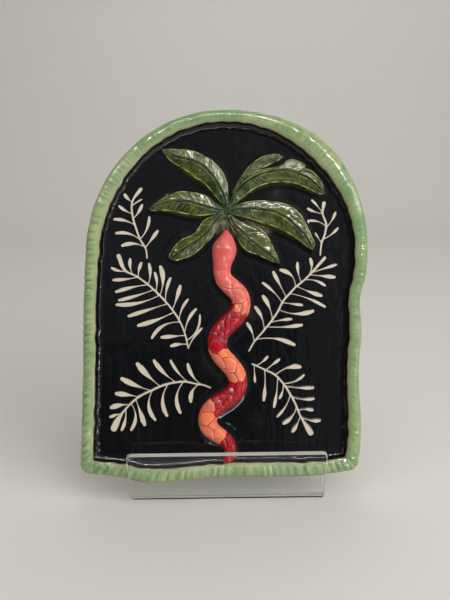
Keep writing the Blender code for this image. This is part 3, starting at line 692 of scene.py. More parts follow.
crown = {
    "heart": (2.9, 186.2), "edge": 2.3, "crest": 3.9, "lip": 0.30, "ribDepth": 0.7, "ribHalf": 0.50,
    "veinGap": 3.9, "veinDepth": 0.40, "fineGap": 2.1, "fineDepth": 0.16, "veinSlant": 0.75,
    "rows": 150, "nearEdge": 0.80, "overlap": 0.10, "sunk": 1.0,
}
leaves = {
    # rib, left edge and right edge from the heart to the tip; share of the blade that the bevel takes; tears
    "leaf_upper_left": {
        "rib": (
            (2.1, 188.3), (-4.3, 202.5), (-8.7, 208.9), (-15.1, 215.4), (-25.1, 219.7), (-33.7, 221.8),
            (-43.4, 227.2),
        ),
        "left": (
            (0.2, 185.8), (-4.3, 190.4), (-8.7, 194.7), (-12.3, 198.9), (-16.5, 202.5), (-22.3, 205.4),
            (-26.5, 209.0), (-33.0, 214.0), (-37.9, 217.8), (-41.5, 222.5), (-43.4, 227.2),
        ),
        "right": (
            (3.6, 188.5), (3.2, 195.4), (2.8, 203.2), (0.6, 209.7), (-2.9, 214.7), (-7.9, 219.7),
            (-15.1, 223.9), (-21.8, 226.6), (-29.0, 227.5), (-36.5, 227.6), (-43.4, 227.2),
        ),
        "bevel": (0.24, 0.10), "tears": (("left", 0.66, 0.10), ("right", 0.62, 0.08)),
    },
    "leaf_left": {
        "rib": (
            (2.5, 184.0), (-4.3, 184.7), (-10.8, 186.1), (-17.9, 188.2), (-25.1, 190.0), (-32.2, 190.6),
            (-39.3, 189.9), (-46.5, 187.8), (-53.3, 185.0),
        ),
        "left": (
            (1.5, 182.0), (-4.2, 181.5), (-9.8, 180.2), (-15.8, 178.9), (-20.1, 178.6), (-25.8, 179.3),
            (-31.5, 180.7), (-37.9, 182.3), (-43.7, 183.2), (-50.8, 183.8), (-53.3, 185.0),
        ),
        "right": (
            (2.0, 187.0), (-0.8, 187.2), (-5.1, 189.6), (-8.7, 192.5), (-13.0, 195.4), (-18.7, 197.2),
            (-25.1, 198.2), (-32.2, 197.9), (-38.6, 195.4), (-44.4, 191.8), (-50.8, 187.3), (-53.3, 185.0),
        ),
        "bevel": (0.24, 0.10), "tears": (),
    },
    "leaf_lower_left": {
        "rib": (
            (1.0, 183.0), (-5.8, 177.5), (-11.5, 169.7), (-18.7, 163.2), (-25.8, 159.0), (-32.2, 154.6),
            (-37.1, 150.0),
        ),
        "left": (
            (1.6, 180.5), (-2.2, 176.0), (-5.1, 170.4), (-8.7, 164.6), (-13.0, 160.4), (-17.2, 156.1),
            (-22.3, 152.2), (-28.0, 150.2), (-33.8, 149.0), (-37.1, 150.0),
        ),
        "right": (
            (-1.0, 184.5), (-8.0, 181.0), (-15.1, 177.5), (-18.0, 173.3), (-20.5, 169.5), (-25.1, 166.6),
            (-29.9, 164.6), (-34.4, 160.4), (-37.6, 155.6), (-38.9, 152.4), (-37.1, 150.0),
        ),
        "bevel": (0.12, 0.12), "tears": (("right", 0.46, 0.16),),
    },
    "leaf_lower_right": {
        "rib": (
            (3.6, 181.5), (6.5, 174.5), (11.5, 169.7), (18.6, 163.2), (25.8, 157.5), (32.8, 152.3),
            (39.3, 146.7),
        ),
        "left": (
            (4.6, 182.5), (11.5, 176.8), (18.6, 174.7), (25.8, 172.3), (29.3, 169.2), (32.2, 164.6),
            (34.6, 159.0), (37.2, 153.2), (39.3, 146.7),
        ),
        "right": (
            (1.8, 180.5), (4.6, 173.0), (6.9, 168.2), (9.3, 163.3), (11.9, 158.4), (15.8, 155.2),
            (22.2, 153.1), (29.3, 150.2), (35.8, 147.7), (39.3, 146.7),
        ),
        "bevel": (0.10, 0.14), "tears": (),
    },
    "leaf_right": {
        "rib": (
            (3.6, 184.6), (8.6, 184.9), (15.1, 185.2), (25.8, 184.5), (32.9, 183.6), (40.0, 181.0),
            (45.8, 176.8), (51.5, 171.5), (56.5, 166.0), (62.2, 156.5),
        ),
        "left": (
            (3.8, 186.4), (8.6, 188.4), (14.4, 190.4), (21.5, 191.5), (29.3, 191.6), (37.2, 190.8),
            (43.6, 189.4), (49.4, 186.6), (53.6, 182.5), (56.7, 177.5), (59.4, 171.8), (61.8, 166.1),
            (63.7, 161.0), (62.2, 156.5),
        ),
        "right": (
            (3.2, 182.6), (8.6, 179.6), (15.1, 177.6), (20.8, 175.4), (27.9, 172.7), (34.4, 170.7),
            (40.0, 168.3), (47.2, 165.1), (53.6, 161.3), (57.9, 158.4), (62.2, 156.5),
        ),
        "bevel": (0.10, 0.24), "tears": (),
    },
    "leaf_upper_right": {
        "rib": (
            (4.3, 188.5), (8.0, 196.5), (12.9, 202.0), (18.6, 206.1), (27.2, 210.0), (35.8, 212.0),
            (45.8, 211.9), (55.8, 208.0), (64.3, 202.0), (70.4, 195.7),
        ),
        "left": (
            (3.4, 189.0), (6.6, 196.5), (10.6, 202.8), (15.2, 207.6), (20.4, 211.0), (25.4, 212.9),
            (29.8, 213.7), (34.0, 214.2), (37.8, 215.3), (41.3, 217.0), (43.4, 219.0), (45.6, 220.2),
            (48.6, 220.3), (53.4, 218.5), (56.9, 216.3), (56.6, 213.9), (59.3, 213.3), (62.4, 211.6),
            (65.8, 207.6), (68.2, 202.6), (70.4, 195.7),
        ),
        "right": (
            (4.8, 186.8), (8.6, 188.4), (12.9, 191.3), (18.6, 195.4), (24.4, 198.9), (31.5, 201.1),
            (38.6, 201.8), (47.2, 201.4), (54.3, 199.5), (60.1, 197.0), (65.8, 195.0), (70.4, 195.7),
        ),
        "bevel": (0.08, 0.24), "tears": (),
    },
    "lobe_upper_right": {
        "rib": (
            (6.2, 197.0), (10.6, 204.4), (15.6, 210.4), (21.4, 215.3), (28.0, 219.2), (35.0, 221.5),
            (41.4, 221.3),
        ),
        "left": (
            (5.4, 196.8), (9.3, 204.2), (12.9, 209.8), (17.2, 215.4), (22.2, 219.6), (27.9, 222.7),
            (34.4, 223.9), (38.8, 223.4), (41.4, 221.3),
        ),
        "right": (
            (7.6, 196.4), (12.2, 202.4), (17.6, 207.2), (23.5, 211.2), (29.8, 214.6), (33.6, 216.4),
            (37.8, 218.7), (41.4, 221.3),
        ),
        "bevel": (0.16, 0.20), "tears": (), "ribless": True,
    },
}


def leafOutline(leaf, t):
    # Both edges as smooth curves; each tear draws its edge in towards the rib by a wedge.
    rib = curveThrough(leaf["rib"], t)
    edges = {side: curveThrough(leaf[side], t) for side in ("left", "right")}
    for side, place, depth in leaf["tears"]:
        wedge = depth * np.clip(1 - np.abs(t - place + 0.014 * np.sign(t - place)) / 0.03, 0, 1)
        edges[side] = edges[side] + (rib - edges[side]) * wedge[:, None]
    return rib, edges["left"], edges["right"]


def makeLeaf(name, leaf, order, material):
    # Blade points go from the left edge over the rib to the right; q is the share of the way out to the edge.
    t = np.linspace(0, 1, crown["rows"])
    rib, leftEdge, rightEdge = leafOutline(leaf, t)
    near = crown["nearEdge"]
    s = [np.linspace(-1, -near, 12)[:-1], np.linspace(-near, near, 53), np.linspace(near, 1, 12)[1:]]
    s = np.concatenate(s)
    q = np.abs(s)
    edge = np.where((s < 0)[None, :, None], leftEdge[:, None, :], rightEdge[:, None, :])
    uv = rib[:, None, :] + (edge - rib[:, None, :]) * q[None, :, None]
    width = np.linalg.norm(edge - rib[:, None, :], axis=2)
    top = 1 - np.where(s < 0, leaf["bevel"][0], leaf["bevel"][1])
    slim = ease(width, 0.6, 3.0)
    dome = (crown["crest"] - crown["edge"]) * (1 - (q / top).clip(0, 1) ** 2.2)
    lip = crown["lip"] * bell(q - top, 0.05)
    away = width * q
    ribbed = 0.0 if leaf.get("ribless") else 1.0
    groove = ribbed * bell(away, crown["ribHalf"])
    shoulder = ribbed * bell(away - 1.5, 0.9)
    # Veins run forward from the rib; each deep one has its own strength, and fine ones lie between.
    ribLength = np.linalg.norm(np.diff(rib, axis=0), axis=1).sum()
    along = t[:, None] * ribLength - crown["veinSlant"] * away + np.where(s < 0, 2.1, 0.0)
    along = along + 0.6 * ripple(along, 17) + 0.2 * ripple(away + along * 0.7, 6)
    deep, fine = along / crown["veinGap"], along / crown["fineGap"]
    keen = rng.uniform(0.35, 1.0, 64)[np.floor(deep + 0.5).astype(int) % 64]
    onBlade = ease(q, 0.02, 0.14) * ease(q / top, 1.0, 0.86) * slim
    deepVein = np.clip(np.cos(2 * np.pi * deep), 0, 1) ** 7 * keen * onBlade
    patchy = np.clip(0.6 + 0.5 * ripple(along + away * 2, 13), 0, 1.2)
    fineVein = np.clip(np.cos(2 * np.pi * fine), 0, 1) ** 2 * onBlade * patchy
    beside = np.clip(np.cos(2 * np.pi * (deep - 0.15)), 0, 1) ** 7 * keen * onBlade
    ends = ease(t, 0, 0.05)[:, None] * ease(t, 1.0, 0.93)[:, None]
    tilt = -0.25 * s[None, :]
    w = crown["edge"] + (dome + lip + tilt + 0.12 * ripple(along, 21)) * slim * ends
    w = w - (crown["ribDepth"] * groove - 0.18 * shoulder) * ends * slim
    w = w - crown["veinDepth"] * (deepVein - 0.4 * beside) - crown["fineDepth"] * fineVein
    drop = ease(q, top, 1.0)
    w = w * (1 - drop) - 0.30 * drop
    w = outline["thickness"] + w + order * crown["overlap"] * (1 - drop)
    grid = np.dstack([uv, w])
    low = np.dstack([uv[:, [-1, 0]], np.full((len(t), 2), outline["thickness"] - crown["sunk"])])
    full = np.concatenate([grid, low], axis=1)
    edgeLine = bell((q - top) * width, 0.34) * np.clip(0.8 + 0.35 * ripple(along, 11), 0.2, 1.1)
    # Painted shade: marks the half of each leaf that faces down, eased in from the rib, for the darker olive.
    under = np.broadcast_to((s < 0) == name.endswith("left"), width.shape) * ease(q, 0.0, 0.10)
    fromHeart = np.hypot(uv[..., 0] - crown["heart"][0], uv[..., 1] - crown["heart"][1])
    values = {
        "ridge": carried(edgeLine * slim + 0.75 * beside, 2),
        "groove": carried(np.maximum(groove * slim * 0.9, 1.15 * deepVein + 0.35 * fineVein), 2),
        "under": carried(under, 2),
        "heart": carried(ease(fromHeart, 20, 4), 2),
        "foot": carried(np.broadcast_to(drop, width.shape), 2, 1),
    }
    faces = tubeFaces(*full.shape[:2], "columns")
    return addToPlaque(name, full, faces, material, values)


def makeHeart(material):
    # A low fluted mound where the leaves meet: radius and height over angle and distance from the middle.
    turn = np.linspace(0, 2 * np.pi, 96, endpoint=False)[:, None]
    out = np.linspace(0.04, 1, 18)[None, :]
    flute = np.cos(6 * turn + 0.6)
    radius = (4.6 + 0.7 * flute) * out
    height = 3.9 * np.sqrt(np.clip(1 - out**2.2, 0, 1)) * (1 + 0.06 * flute) + 0.5
    u = crown["heart"][0] + radius * np.cos(turn)
    v = crown["heart"][1] - 0.6 + radius * np.sin(turn) * 1.05
    grid = np.dstack([u, v, outline["thickness"] + height])
    base = grid[:, -1:].copy()
    base[..., 2] = outline["thickness"] - crown["sunk"]
    full = np.concatenate([grid, base], axis=1)
    shape = full[..., 0].size
    values = {
        "ridge": np.zeros(shape),
        "groove": np.repeat(np.clip(-flute, 0, 1) ** 2 * 0.5, full.shape[1], axis=1).ravel(),
        # The heart takes half of the leaves' painted shade.
        "under": np.full(shape, 0.5),
        "heart": np.ones(shape),
        "foot": np.zeros(shape),
    }
    faces = tubeFaces(*full.shape[:2], "rows")
    return addToPlaque("crown_heart", full, faces, material, values)


# Snake

snake = {
    "turns": (
        (1.7, 170.6), (-1.5, 141.6), (12.0, 119.8), (-4.9, 91.5), (9.7, 64.2), (-11.5, 37.1), (4.2, 16.7),
        (2.6, 6.0),
    ),
    # distance from the nose, half width
    "girth": (
        (0, 0.9), (5, 4.9), (9, 7.2), (13, 8.6), (18, 8.1), (25, 6.4), (31, 6.0), (43, 6.4), (60, 6.7),
        (120, 6.6), (165, 6.2), (183, 4.3), (200, 3.4),
    ),
    "rise": 0.84,
    # row along and plate across, in the red bands and in the others
    "fine": (4.4, 4.8),
    "coarse": (8.4, 9.0),
    "facet": 0.12,
    "plateRise": 0.55,
    "platesFrom": 31.0,
    # distance from the nose at which each colour starts
    "bands": (
        (0, "pink"), (29, "coral"), (61, "red"), (92, "orange"), (119, "red"), (148, "orange"),
        (179, "red"),
    ),
    "steps": 640,
    "around": 64,
}
snakeColours = {
    "pink": (206, 93, 88), "coral": (214, 104, 92), "red": (160, 2, 18), "orange": (214, 108, 84),
    # what a plate turns towards by chance
    "warm": (228, 124, 70), "cool": (226, 94, 92),
}


def meander(start, end, steps):
    # A sine-generated curve between two turns, heading straight down at both; its swing found by halving.
    sideways, down = end[0] - start[0], start[1] - end[1]
    fine = np.linspace(0, 1, 241)
    low, high = 0.0, 1.9
    for _ in range(40):
        swing = (low + high) / 2
        heading = swing * np.sin(np.pi * (fine[1:] + fine[:-1]) / 2)
        across, along = np.cumsum(np.sin(heading)) / 240, np.cumsum(np.cos(heading)) / 240
        low, high = (swing, high) if across[-1] * down < abs(sideways) * along[-1] else (low, swing)
    length = down / along[-1]
    t = np.arange(steps) / steps
    aside = np.interp(t, fine, np.insert(across, 0, 0) * math.copysign(length, sideways))
    fall = np.interp(t, fine, np.insert(along, 0, 0) * length)
    return np.column_stack([start[0] + aside, start[1] - fall])


def snakeBack(steps):
    # Even points down the back, the unit vector to its left, the distance gone and the half width there.
    turns = snake["turns"]
    path = np.vstack([*[meander(a, b, 160) for a, b in zip(turns[:-1], turns[1:])], [turns[-1]]])
    gone = np.insert(np.cumsum(np.linalg.norm(np.diff(path, axis=0), axis=1)), 0, 0)
    distance = np.linspace(0, gone[-1], steps)
    back = np.column_stack([np.interp(distance, gone, path[:, k]) for k in (0, 1)])
    along = np.gradient(back, axis=0)
    along /= np.linalg.norm(along, axis=1)[:, None]
    place, half = np.array(snake["girth"], float).T
    half = curveThrough(np.column_stack([place, half]), 400)
    half = np.interp(distance, half[:, 0], half[:, 1])
    return back, np.column_stack([-along[:, 1], along[:, 0]]), distance, half


def snakePlates(along, around):
    # Staggered plate middles with chance shifts; each point belongs to the nearest one.
    # Gives the plate's number, the distance from its border, and the ways along and across from its middle.
    middles = []
    place, i = snake["platesFrom"] - 4, 0
    while place < along.max() + 8:
        red = [colour for start, colour in snake["bands"] if start <= place + 2][-1] == "red"
        row, plate = snake["fine" if red else "coarse"]
        for side in ((-1.5, -0.5, 0.5, 1.5), (-1.0, 0.0, 1.0))[i % 2]:
            ahead = 0.2 * row * rng.uniform(-1, 1)
            middles.append((place + ahead, (side + 0.16 * rng.uniform(-1, 1)) * plate))
        place, i = place + row, i + 1
    middles = np.array(middles)
    a, b = along.ravel()[:, None] - middles[:, 0], around.ravel()[:, None] - middles[:, 1]
    # Rounded towards the tail: points ahead of a middle count as a little further off at the sides.
    reach = np.hypot(a / 1.15 + 0.035 * b * b * (a > 0), b)
    order = np.argpartition(reach, 1, axis=1)[:, :2]
    near = np.take_along_axis(reach, order, axis=1)
    order = order[np.arange(len(order)), near.argmin(axis=1)]
    border = np.abs(near[:, 1] - near[:, 0]) / 2
    shape = along.shape
    order, border = order.reshape(shape), border.reshape(shape)
    return order, border, along - middles[order, 0], around - middles[order, 1], middles[:, 0]


def makeSnake(material):
    # Half circles carried down the back; the plates rise towards the tail and drop at their borders.
    back, left, distance, half = snakeBack(snake["steps"])
    angle = np.linspace(0, np.pi, snake["around"] + 1)
    aside = np.outer(half, np.cos(angle))
    rise = np.outer(half * snake["rise"], np.sin(angle) ** 0.78)
    around = (angle / np.pi - 0.5)[None, :] * 2.7 * half[:, None]
    along = np.broadcast_to(distance[:, None], around.shape)
    bent = around + 1.1 * ripple(along, 23)
    plate, border, ahead, beside, middles = snakePlates(along + 0.8 * ripple(around + along * 0.3, 12), bent)
    crease = bell(border, 0.42)
    fade = ease(distance, snake["platesFrom"] - 3, snake["platesFrom"] + 4)[:, None]
    side = np.sin(angle)[None, :] ** 0.7
    swell = 0.5 + 0.5 * np.clip(ahead / 6, -1, 1) + 0.35 * (1 - bell(border, 1.6))
    tip, roll = snake["facet"] * rng.uniform(-1, 1, (2, len(middles)))
    facet = tip[plate] * ahead.clip(-3, 3) + roll[plate] * beside.clip(-3, 3)
    relief = (snake["plateRise"] * (swell - 0.95 * crease) + facet * ease(border, 0, 0.8)) * fade * side
    dents = 0.16 * ripple(along + 1.4 * around, 11) * fade * side
    rise = np.maximum(rise + relief + dents, 0) - 0.25 * (1 - np.sin(angle))[None, :]
    uv = back[:, None, :] + left[:, None, :] * aside[:, :, None]
    grid = np.dstack([uv, outline["thickness"] + 0.35 + rise])
    low = grid[:, [-1, 0]].copy()
    low[..., 2] = outline["thickness"] - 1.2
    full = np.concatenate([grid, low], axis=1)
    # Each plate takes the colour of the band that its middle lies in; by chance some turn coral or orange.
    middle = np.where(fade > 0.2, middles[plate], along)
    starts, names = zip(*snake["bands"])
    palette = np.array([shade(*snakeColours[colour]) for colour in names])
    band = np.clip(np.searchsorted(starts, middle, side="right") - 1, 0, len(starts) - 1)
    tint = palette[band]
    chance = rng.uniform(0, 1, len(middles))[plate]
    # Bands by number: 1 is coral, 3 and 5 are orange, 2, 4 and 6 are red.
    fiery = np.isin(band, (1, 3, 5))
    warm = (0.6 * ease(chance, 0.6, 0.95) + 0.4 * bell(border, 0.9)).clip(0, 0.7)
    for name, share in (("warm", fiery * warm), ("cool", fiery * 0.7 * ease(chance, 0.35, 0.05))):
        share = (share * fade)[..., None]
        tint = tint * (1 - share) + np.array(shade(*snakeColours[name])) * share
    dark = np.where(np.isin(band, (2, 4, 6)), 0.8 + 0.3 * chance, 1.0)[..., None]
    tint = np.concatenate([tint[..., :3] * dark, tint[..., 3:]], axis=2)
    ridgeLine = bell(border - 0.85, 0.35) * ease(ahead, -1, 3) * fade * side * np.where(fiery, 1.0, 0.35)
    values = {
        "tint": np.pad(tint, ((0, 0), (0, 2), (0, 0)), mode="edge").reshape(-1, 4),
        "ridge": carried(ridgeLine, 2),
        "groove": carried(crease * fade * side, 2),
    }
    faces = tubeFaces(*full.shape[:2], "columns")
    return addToPlaque("snake_body", full, faces, material, values)


# Field

field = {
    "floor": 7.8,
    "inset": 7.0,
    "middle": (0.0, 125.0),
    "swell": 0.24,
    "swellReach": 0.65,
    "moat": 0.20,
    # a distance, stroke or no stroke, that nothing shows at
    "farOff": 50.0,
    "noStroke": 5.0,
    # u, v, size and strength of the patches where the glaze is rubbed to the clay
    "smears": (
        (0.8, 175.8, 3.4, 1.0), (-4.6, 171.6, 2.2, 0.45), (36.5, 196.1, 3.2, 0.10),
        (19.9, 177.3, 3.0, 0.95), (25.5, 174.0, 2.6, 0.85), (30.0, 171.2, 2.2, 0.5),
        (8.4, 170.0, 2.0, 0.8), (-1.4, 117.6, 4.0, 0.04), (-7.7, 74.9, 4.0, 0.05),
        (-11.9, 78.4, 3.0, 0.05), (20.3, 110.6, 2.5, 0.05), (-0.7, 68.6, 3.0, 0.05),
        (23.8, 37.8, 4.0, 0.03), (-28.0, 168.0, 3.0, 0.04),
    ),
}


def gridLines(stops):
    # Lines from stop to stop, each stretch with its own gap.
    lines = [np.array([stops[0][0]])]
    for (start, gap), (end, _) in zip(stops[:-1], stops[1:]):
        lines.append(np.linspace(start, end, max(2, int(round(abs(end - start) / gap)) + 1))[1:])
    return np.concatenate(lines)


def makeField(material):
    # A net of points over the arch, its outer points drawn in to the edge; the relief is a sum of soft forms.
    across = gridLines(((-102, 1.5), (-83, 0.6), (-8.5, 1.1), (8.5, 0.6), (83, 1.5), (106, 1)))
    up = gridLines(((4, 1.5), (24, 0.6), (203, 1.4), (256, 1)))
    u, v = np.meshgrid(across, up)
    points = np.column_stack([u.ravel(), v.ravel()])
    # The outline's radius about its middle, looked up by direction.
    middle = np.array(field["middle"])
    ring = edgeRing(field["inset"]) - middle
    turn, reach = np.arctan2(ring[:, 1], ring[:, 0]), np.hypot(*ring.T)
    order = np.argsort(turn)
    arm = points - middle
    limit = np.interp(np.arctan2(arm[:, 1], arm[:, 0]), turn[order], reach[order], period=2 * np.pi)
    length = np.hypot(*arm.T)
    inside = length <= limit
    quads = gridQuads(len(up), len(across))
    quads = quads[inside[quads].any(axis=1)]
    points = middle + arm * np.minimum(1, limit / np.maximum(length, 1e-9))[:, None]
    u, v = points.T
    stroke = np.full(len(points), field["noStroke"])
    for path, half in frondStrokes():
        drawCloser(stroke, points, path, half, 4)
    # Soft clay rises to the snake and the leaves, and the glaze pools against them.
    back, _, _, half = snakeBack(160)
    raised = np.full(len(points), field["farOff"])
    near = np.flatnonzero((np.abs(u) < 36) & (v < 182))
    raised[near] = strokeDistance(points[near], back, half)
    t = np.linspace(0, 1, 60)
    for leaf in leaves.values():
        _, leftEdge, rightEdge = leafOutline(leaf, t)
        loop = np.vstack([leftEdge, rightEdge[::-1]])
        drawCloser(raised, points, loop, np.zeros(len(loop)), 8)
    raised = np.clip(raised, 0, field["farOff"])
    moat = field["moat"] * bell(raised - 3.2, 1.9)
    w = outline["thickness"] + field["swell"] * np.exp(-raised / field["swellReach"]) - moat
    w = w + 0.10 * np.sin(u / 17 + 1) * np.sin(v / 23) - scratch["depth"] * ease(stroke, 0.3, -0.3)
    # One thin upright scratch at the lower left, then the round patches.
    smear = 0.07 * bell(u + 59.9, 0.5) * ease(v, 12, 15) * ease(v, 34, 30)
    for su, sv, size, strength in field["smears"]:
        smear = np.maximum(smear, strength * np.exp(-0.5 * (np.hypot(u - su, v - sv) / size) ** 2))
    brush = 0.05 + 0.95 * ease(u, 10, -60) * ease(v, 190, 130)
    top = np.column_stack([points, w])
    used, quads = np.unique(quads, return_inverse=True)
    quads = quads.reshape(-1, 4)
    top, stroke, smear, brush = top[used], stroke[used], smear[used], brush[used]
    # Wall and floor: the net's open edge carried down and closed by one flat face.
    ends = np.sort(np.stack([quads, np.roll(quads, -1, axis=1)], axis=-1).reshape(-1, 2), axis=1)
    edges, seen = np.unique(ends, axis=0, return_counts=True)
    nextTo = {}
    for a, b in edges[seen == 1].tolist():
        nextTo.setdefault(a, []).append(b)
        nextTo.setdefault(b, []).append(a)
    loop = [next(iter(nextTo))]
    loop.append(nextTo[loop[0]][0])
    while loop[-1] != loop[0]:
        here = nextTo[loop[-1]]
        loop.append(here[0] if here[0] != loop[-2] else here[1])
    loop = np.array(loop[:-1])
    base = top[loop].copy()
    base[:, 2] = field["floor"]
    first = len(top)
    low = first + np.arange(len(loop))
    walls = np.stack([loop, np.roll(loop, -1), np.roll(low, -1), low], axis=1)
    full = np.vstack([top, base])
    values = {
        "stroke": np.pad(stroke, (0, len(loop)), constant_values=field["noStroke"]),
        "smear": np.pad(smear, (0, len(loop))),
        "brush": np.pad(brush, (0, len(loop))),
    }
    return addToPlaque("field", full, [*quads, *walls, low.tolist()], material, values)


# Back

biscuit = {
    # inset and height over the back face
    "profile": (
        (0.12, 7.6), (0.12, 4.4), (0.12, 1.7), (0.25, 1.05), (0.62, 0.48), (1.15, 0.14), (1.75, 0.0),
        (2.6, 0.0),
    ),
}
pocket = {
    "width": 32.0, "height": 12.0, "centre": 212.0, "steps": 72,
    # depth, and how much wider it is there: a rounded lip, upright walls and a rounded floor
    "profile": (
        (-1.0, 0.8), (0.0, 0.8), (0.12, 0.45), (0.40, 0.14), (0.80, 0.0), (2.4, 0.0), (3.4, -0.15),
        (3.85, -0.55), (4.0, -1.1),
    ),
}


def makeBack(material):
    # A biscuit of clay under the glaze, its back edge rounded, with the pocket pressed into it.
    grid = np.stack([level(edgeRing(inset), height) for inset, height in biscuit["profile"]], axis=1)
    faces = tubeFaces(*grid.shape[:2], "rows")
    body = addPiece("clay_back", onPlaque(grid.reshape(-1, 3)), faces, [material])
    # The pocket's outline is a stadium; it widens by the lip's rounding towards the back face.
    levels, spread = np.array(pocket["profile"]).T
    turn = np.linspace(0, 2 * np.pi, pocket["steps"], endpoint=False)[:, None]
    radius = pocket["height"] / 2 + spread[None, :]
    reach = pocket["width"] / 2 - pocket["height"] / 2
    u = np.sign(np.cos(turn)) * reach * ease(np.abs(np.cos(turn)), 0.0, 0.12) + radius * np.cos(turn)
    v = pocket["centre"] + radius * np.sin(turn)
    hole = np.dstack([u, v, np.broadcast_to(levels, u.shape)])
    faces = tubeFaces(*hole.shape[:2], "rows")
    cutter = addPiece("pocket_cutter", onPlaque(hole.reshape(-1, 3)), faces, [material])
    cut = body.modifiers.new("pocket", "BOOLEAN")
    cut.operation, cut.solver, cut.object = "DIFFERENCE", "EXACT", cutter
    bpy.context.view_layer.update()
    finished = bpy.data.meshes.new_from_object(body.evaluated_get(bpy.context.evaluated_depsgraph_get()))
    body.modifiers.clear()
    body.data = finished
    bpy.data.objects.remove(cutter, do_unlink=True)
    place = np.empty(len(finished.vertices) * 3, np.float32)
    finished.vertices.foreach_get("co", place)
    layer = finished.attributes.new("spot", "FLOAT_VECTOR", "POINT")
    layer.data.foreach_set("vector", place * 1000)
    finished.shade_smooth()
    finished.set_sharp_from_angle(angle=math.radians(40))
    return belongs(body, "plaque")


# Easel

easel = {
    "sheet": 3.0, "width": 136.0, "topWidth": 98.0, "lip": 44.2, "lipLean": 18.0, "back": 150.0,
    "backLean": 18.0, "legSpread": 20.0, "foot": 2.0, "footBend": 1.3, "topBend": 4.5, "corner": 3.0,
    "chamfer": 0.22, "middle": (0.0008387, -0.0457009),
}


def sheetLine():
    # The sheet's middle line (y, z) with its bends as arcs, the heading at each point and the half width.
    e = easel
    lip, lean, spread = (math.radians(e[k]) for k in ("lipLean", "backLean", "legSpread"))
    middle = e["sheet"] / 2
    low = e["footBend"] + middle

    def setback(angle):
        return low * math.tan((math.pi / 2 - angle) / 2)

    front = np.array([0.0, middle])
    rear = np.array([e["foot"] + setback(lip) + setback(lean), middle])
    lipTop = front + e["lip"] * np.array([-math.sin(lip), math.cos(lip)])
    top = rear + e["back"] * np.array([math.sin(lean), math.cos(lean)])
    end = top + top[1] / math.cos(spread) * np.array([math.sin(spread), -math.cos(spread)])
    corners = [lipTop, front, rear, top, end]
    first = front - lipTop
    begin = math.atan2(first[1], first[0])
    eased = e["corner"] * (1 - np.cos(np.pi / 2 * np.arange(9) / 8))
    points = [lipTop + step * first / np.linalg.norm(first) for step in eased]
    headings = [begin] * len(points)
    radii = (low, low, e["topBend"] + middle)
    for before, corner, after, radius in zip(corners[:-2], corners[1:-1], corners[2:], radii):
        come, go = math.atan2(*(corner - before)[::-1]), math.atan2(*(after - corner)[::-1])
        turn = (go - come + math.pi) % (2 * math.pi) - math.pi
        start = corner - radius * math.tan(abs(turn) / 2) * np.array([math.cos(come), math.sin(come)])
        side = math.copysign(1, turn)
        centre = start + side * radius * np.array([-math.sin(come), math.cos(come)])
        steps = 16 if abs(turn) < math.pi / 2 else 30
        for i in range(steps + 1):
            heading = come + turn * i / steps
            points.append(centre - side * radius * np.array([-math.sin(heading), math.cos(heading)]))
            headings.append(heading)
    points.append(corners[-1])
    headings.append(headings[-1])
    points, headings = np.array(points), np.array(headings)
    gone = np.insert(np.cumsum(np.linalg.norm(np.diff(points, axis=0), axis=1)), 0, 0)
    start = np.linalg.norm(first) + np.linalg.norm(rear - front)
    share = np.clip((gone - start) / e["back"], 0, 1)
    half = (e["width"] + (e["topWidth"] - e["width"]) * share) / 2
    short = np.clip(e["corner"] - gone, 0, None)
    return points, headings, half - e["corner"] + np.sqrt(e["corner"] ** 2 - short**2)


def makeEasel(clear, cutEdge):
    # A flat-sided oblong with tiny chamfers carried along the middle line; its ends and sides are saw-cut.
    line, headings, half = sheetLine()
    t, c = easel["sheet"] / 2, easel["chamfer"]
    square = ((-1, c, 1, 0), (1, -c, 1, 0), (1, 0, 1, -c), (1, 0, -1, c))
    square += ((1, -c, -1, 0), (-1, c, -1, 0), (-1, 0, -1, c), (-1, 0, 1, -c))
    along = np.column_stack([np.cos(headings), np.sin(headings)])
    normal = np.column_stack([-np.sin(headings), np.cos(headings)])
    columns = []
    for side, draw, face, dip in square:
        yz = line + normal * (face * t + dip)
        yz[-1] -= along[-1] * (yz[-1][1] / along[-1][1])
        columns.append(np.column_stack([side * half + draw, yz]))
    grid = np.stack(columns, axis=1)
    start = grid[:1].copy()
    centre = start.mean(axis=1, keepdims=True)
    start = centre + (start - centre) * [1 - c / half[0], 1, 1]
    start[..., 1:] = centre[..., 1:] + (start[..., 1:] - centre[..., 1:]) * (1 - c / t) - along[0] * c
    grid = np.concatenate([start, grid], axis=0)
    rows = len(grid)
    faces = tubeFaces(rows, 8, "columns")
    # The two broad sides, columns 0 and 4, are polished; the rest and both ends are cut.
    kinds = [int(i == 0 or j not in (0, 4)) for i in range(rows - 1) for j in range(8)] + [1, 1]
    place = grid.reshape(-1, 3) / 1000 + (easel["middle"][0], easel["middle"][1], 0)
    piece = addPiece("easel_sheet", place, faces, [clear, cutEdge], None, kinds, sharp=20)
    return belongs(piece, "easel")


def clearPlastic():
    # Clear acrylic with the faintest scuffs.
    r = Recipe("clear_plastic", IOR=1.2, Base_Color=(0.99, 1.0, 0.992, 1), Transmission_Weight=1.0)
    where = r.node("ShaderNodeTexCoord").outputs["Object"]
    return r.finish(None, r.between(r.noise(where, 60, 3.0), 0.4, 0.8, (0.01, 0.05)))


def cutPlastic():
    # Saw-cut edges of the same sheet, frosted.
    r = Recipe("cut_plastic", IOR=1.49, Transmission_Weight=0.35)
    where = r.node("ShaderNodeTexCoord").outputs["Object"]
    streak = r.noise(where, 900, 2.0)
    colour = r.mix(streak, shade(206, 196, 188), shade(188, 178, 170))
    return r.finish(colour, r.between(streak, 0.3, 0.7, (0.35, 0.55)))


# Room

room = {"floor": (202, 198, 191), "backdrop": (199, 196, 189), "depth": 0.75}


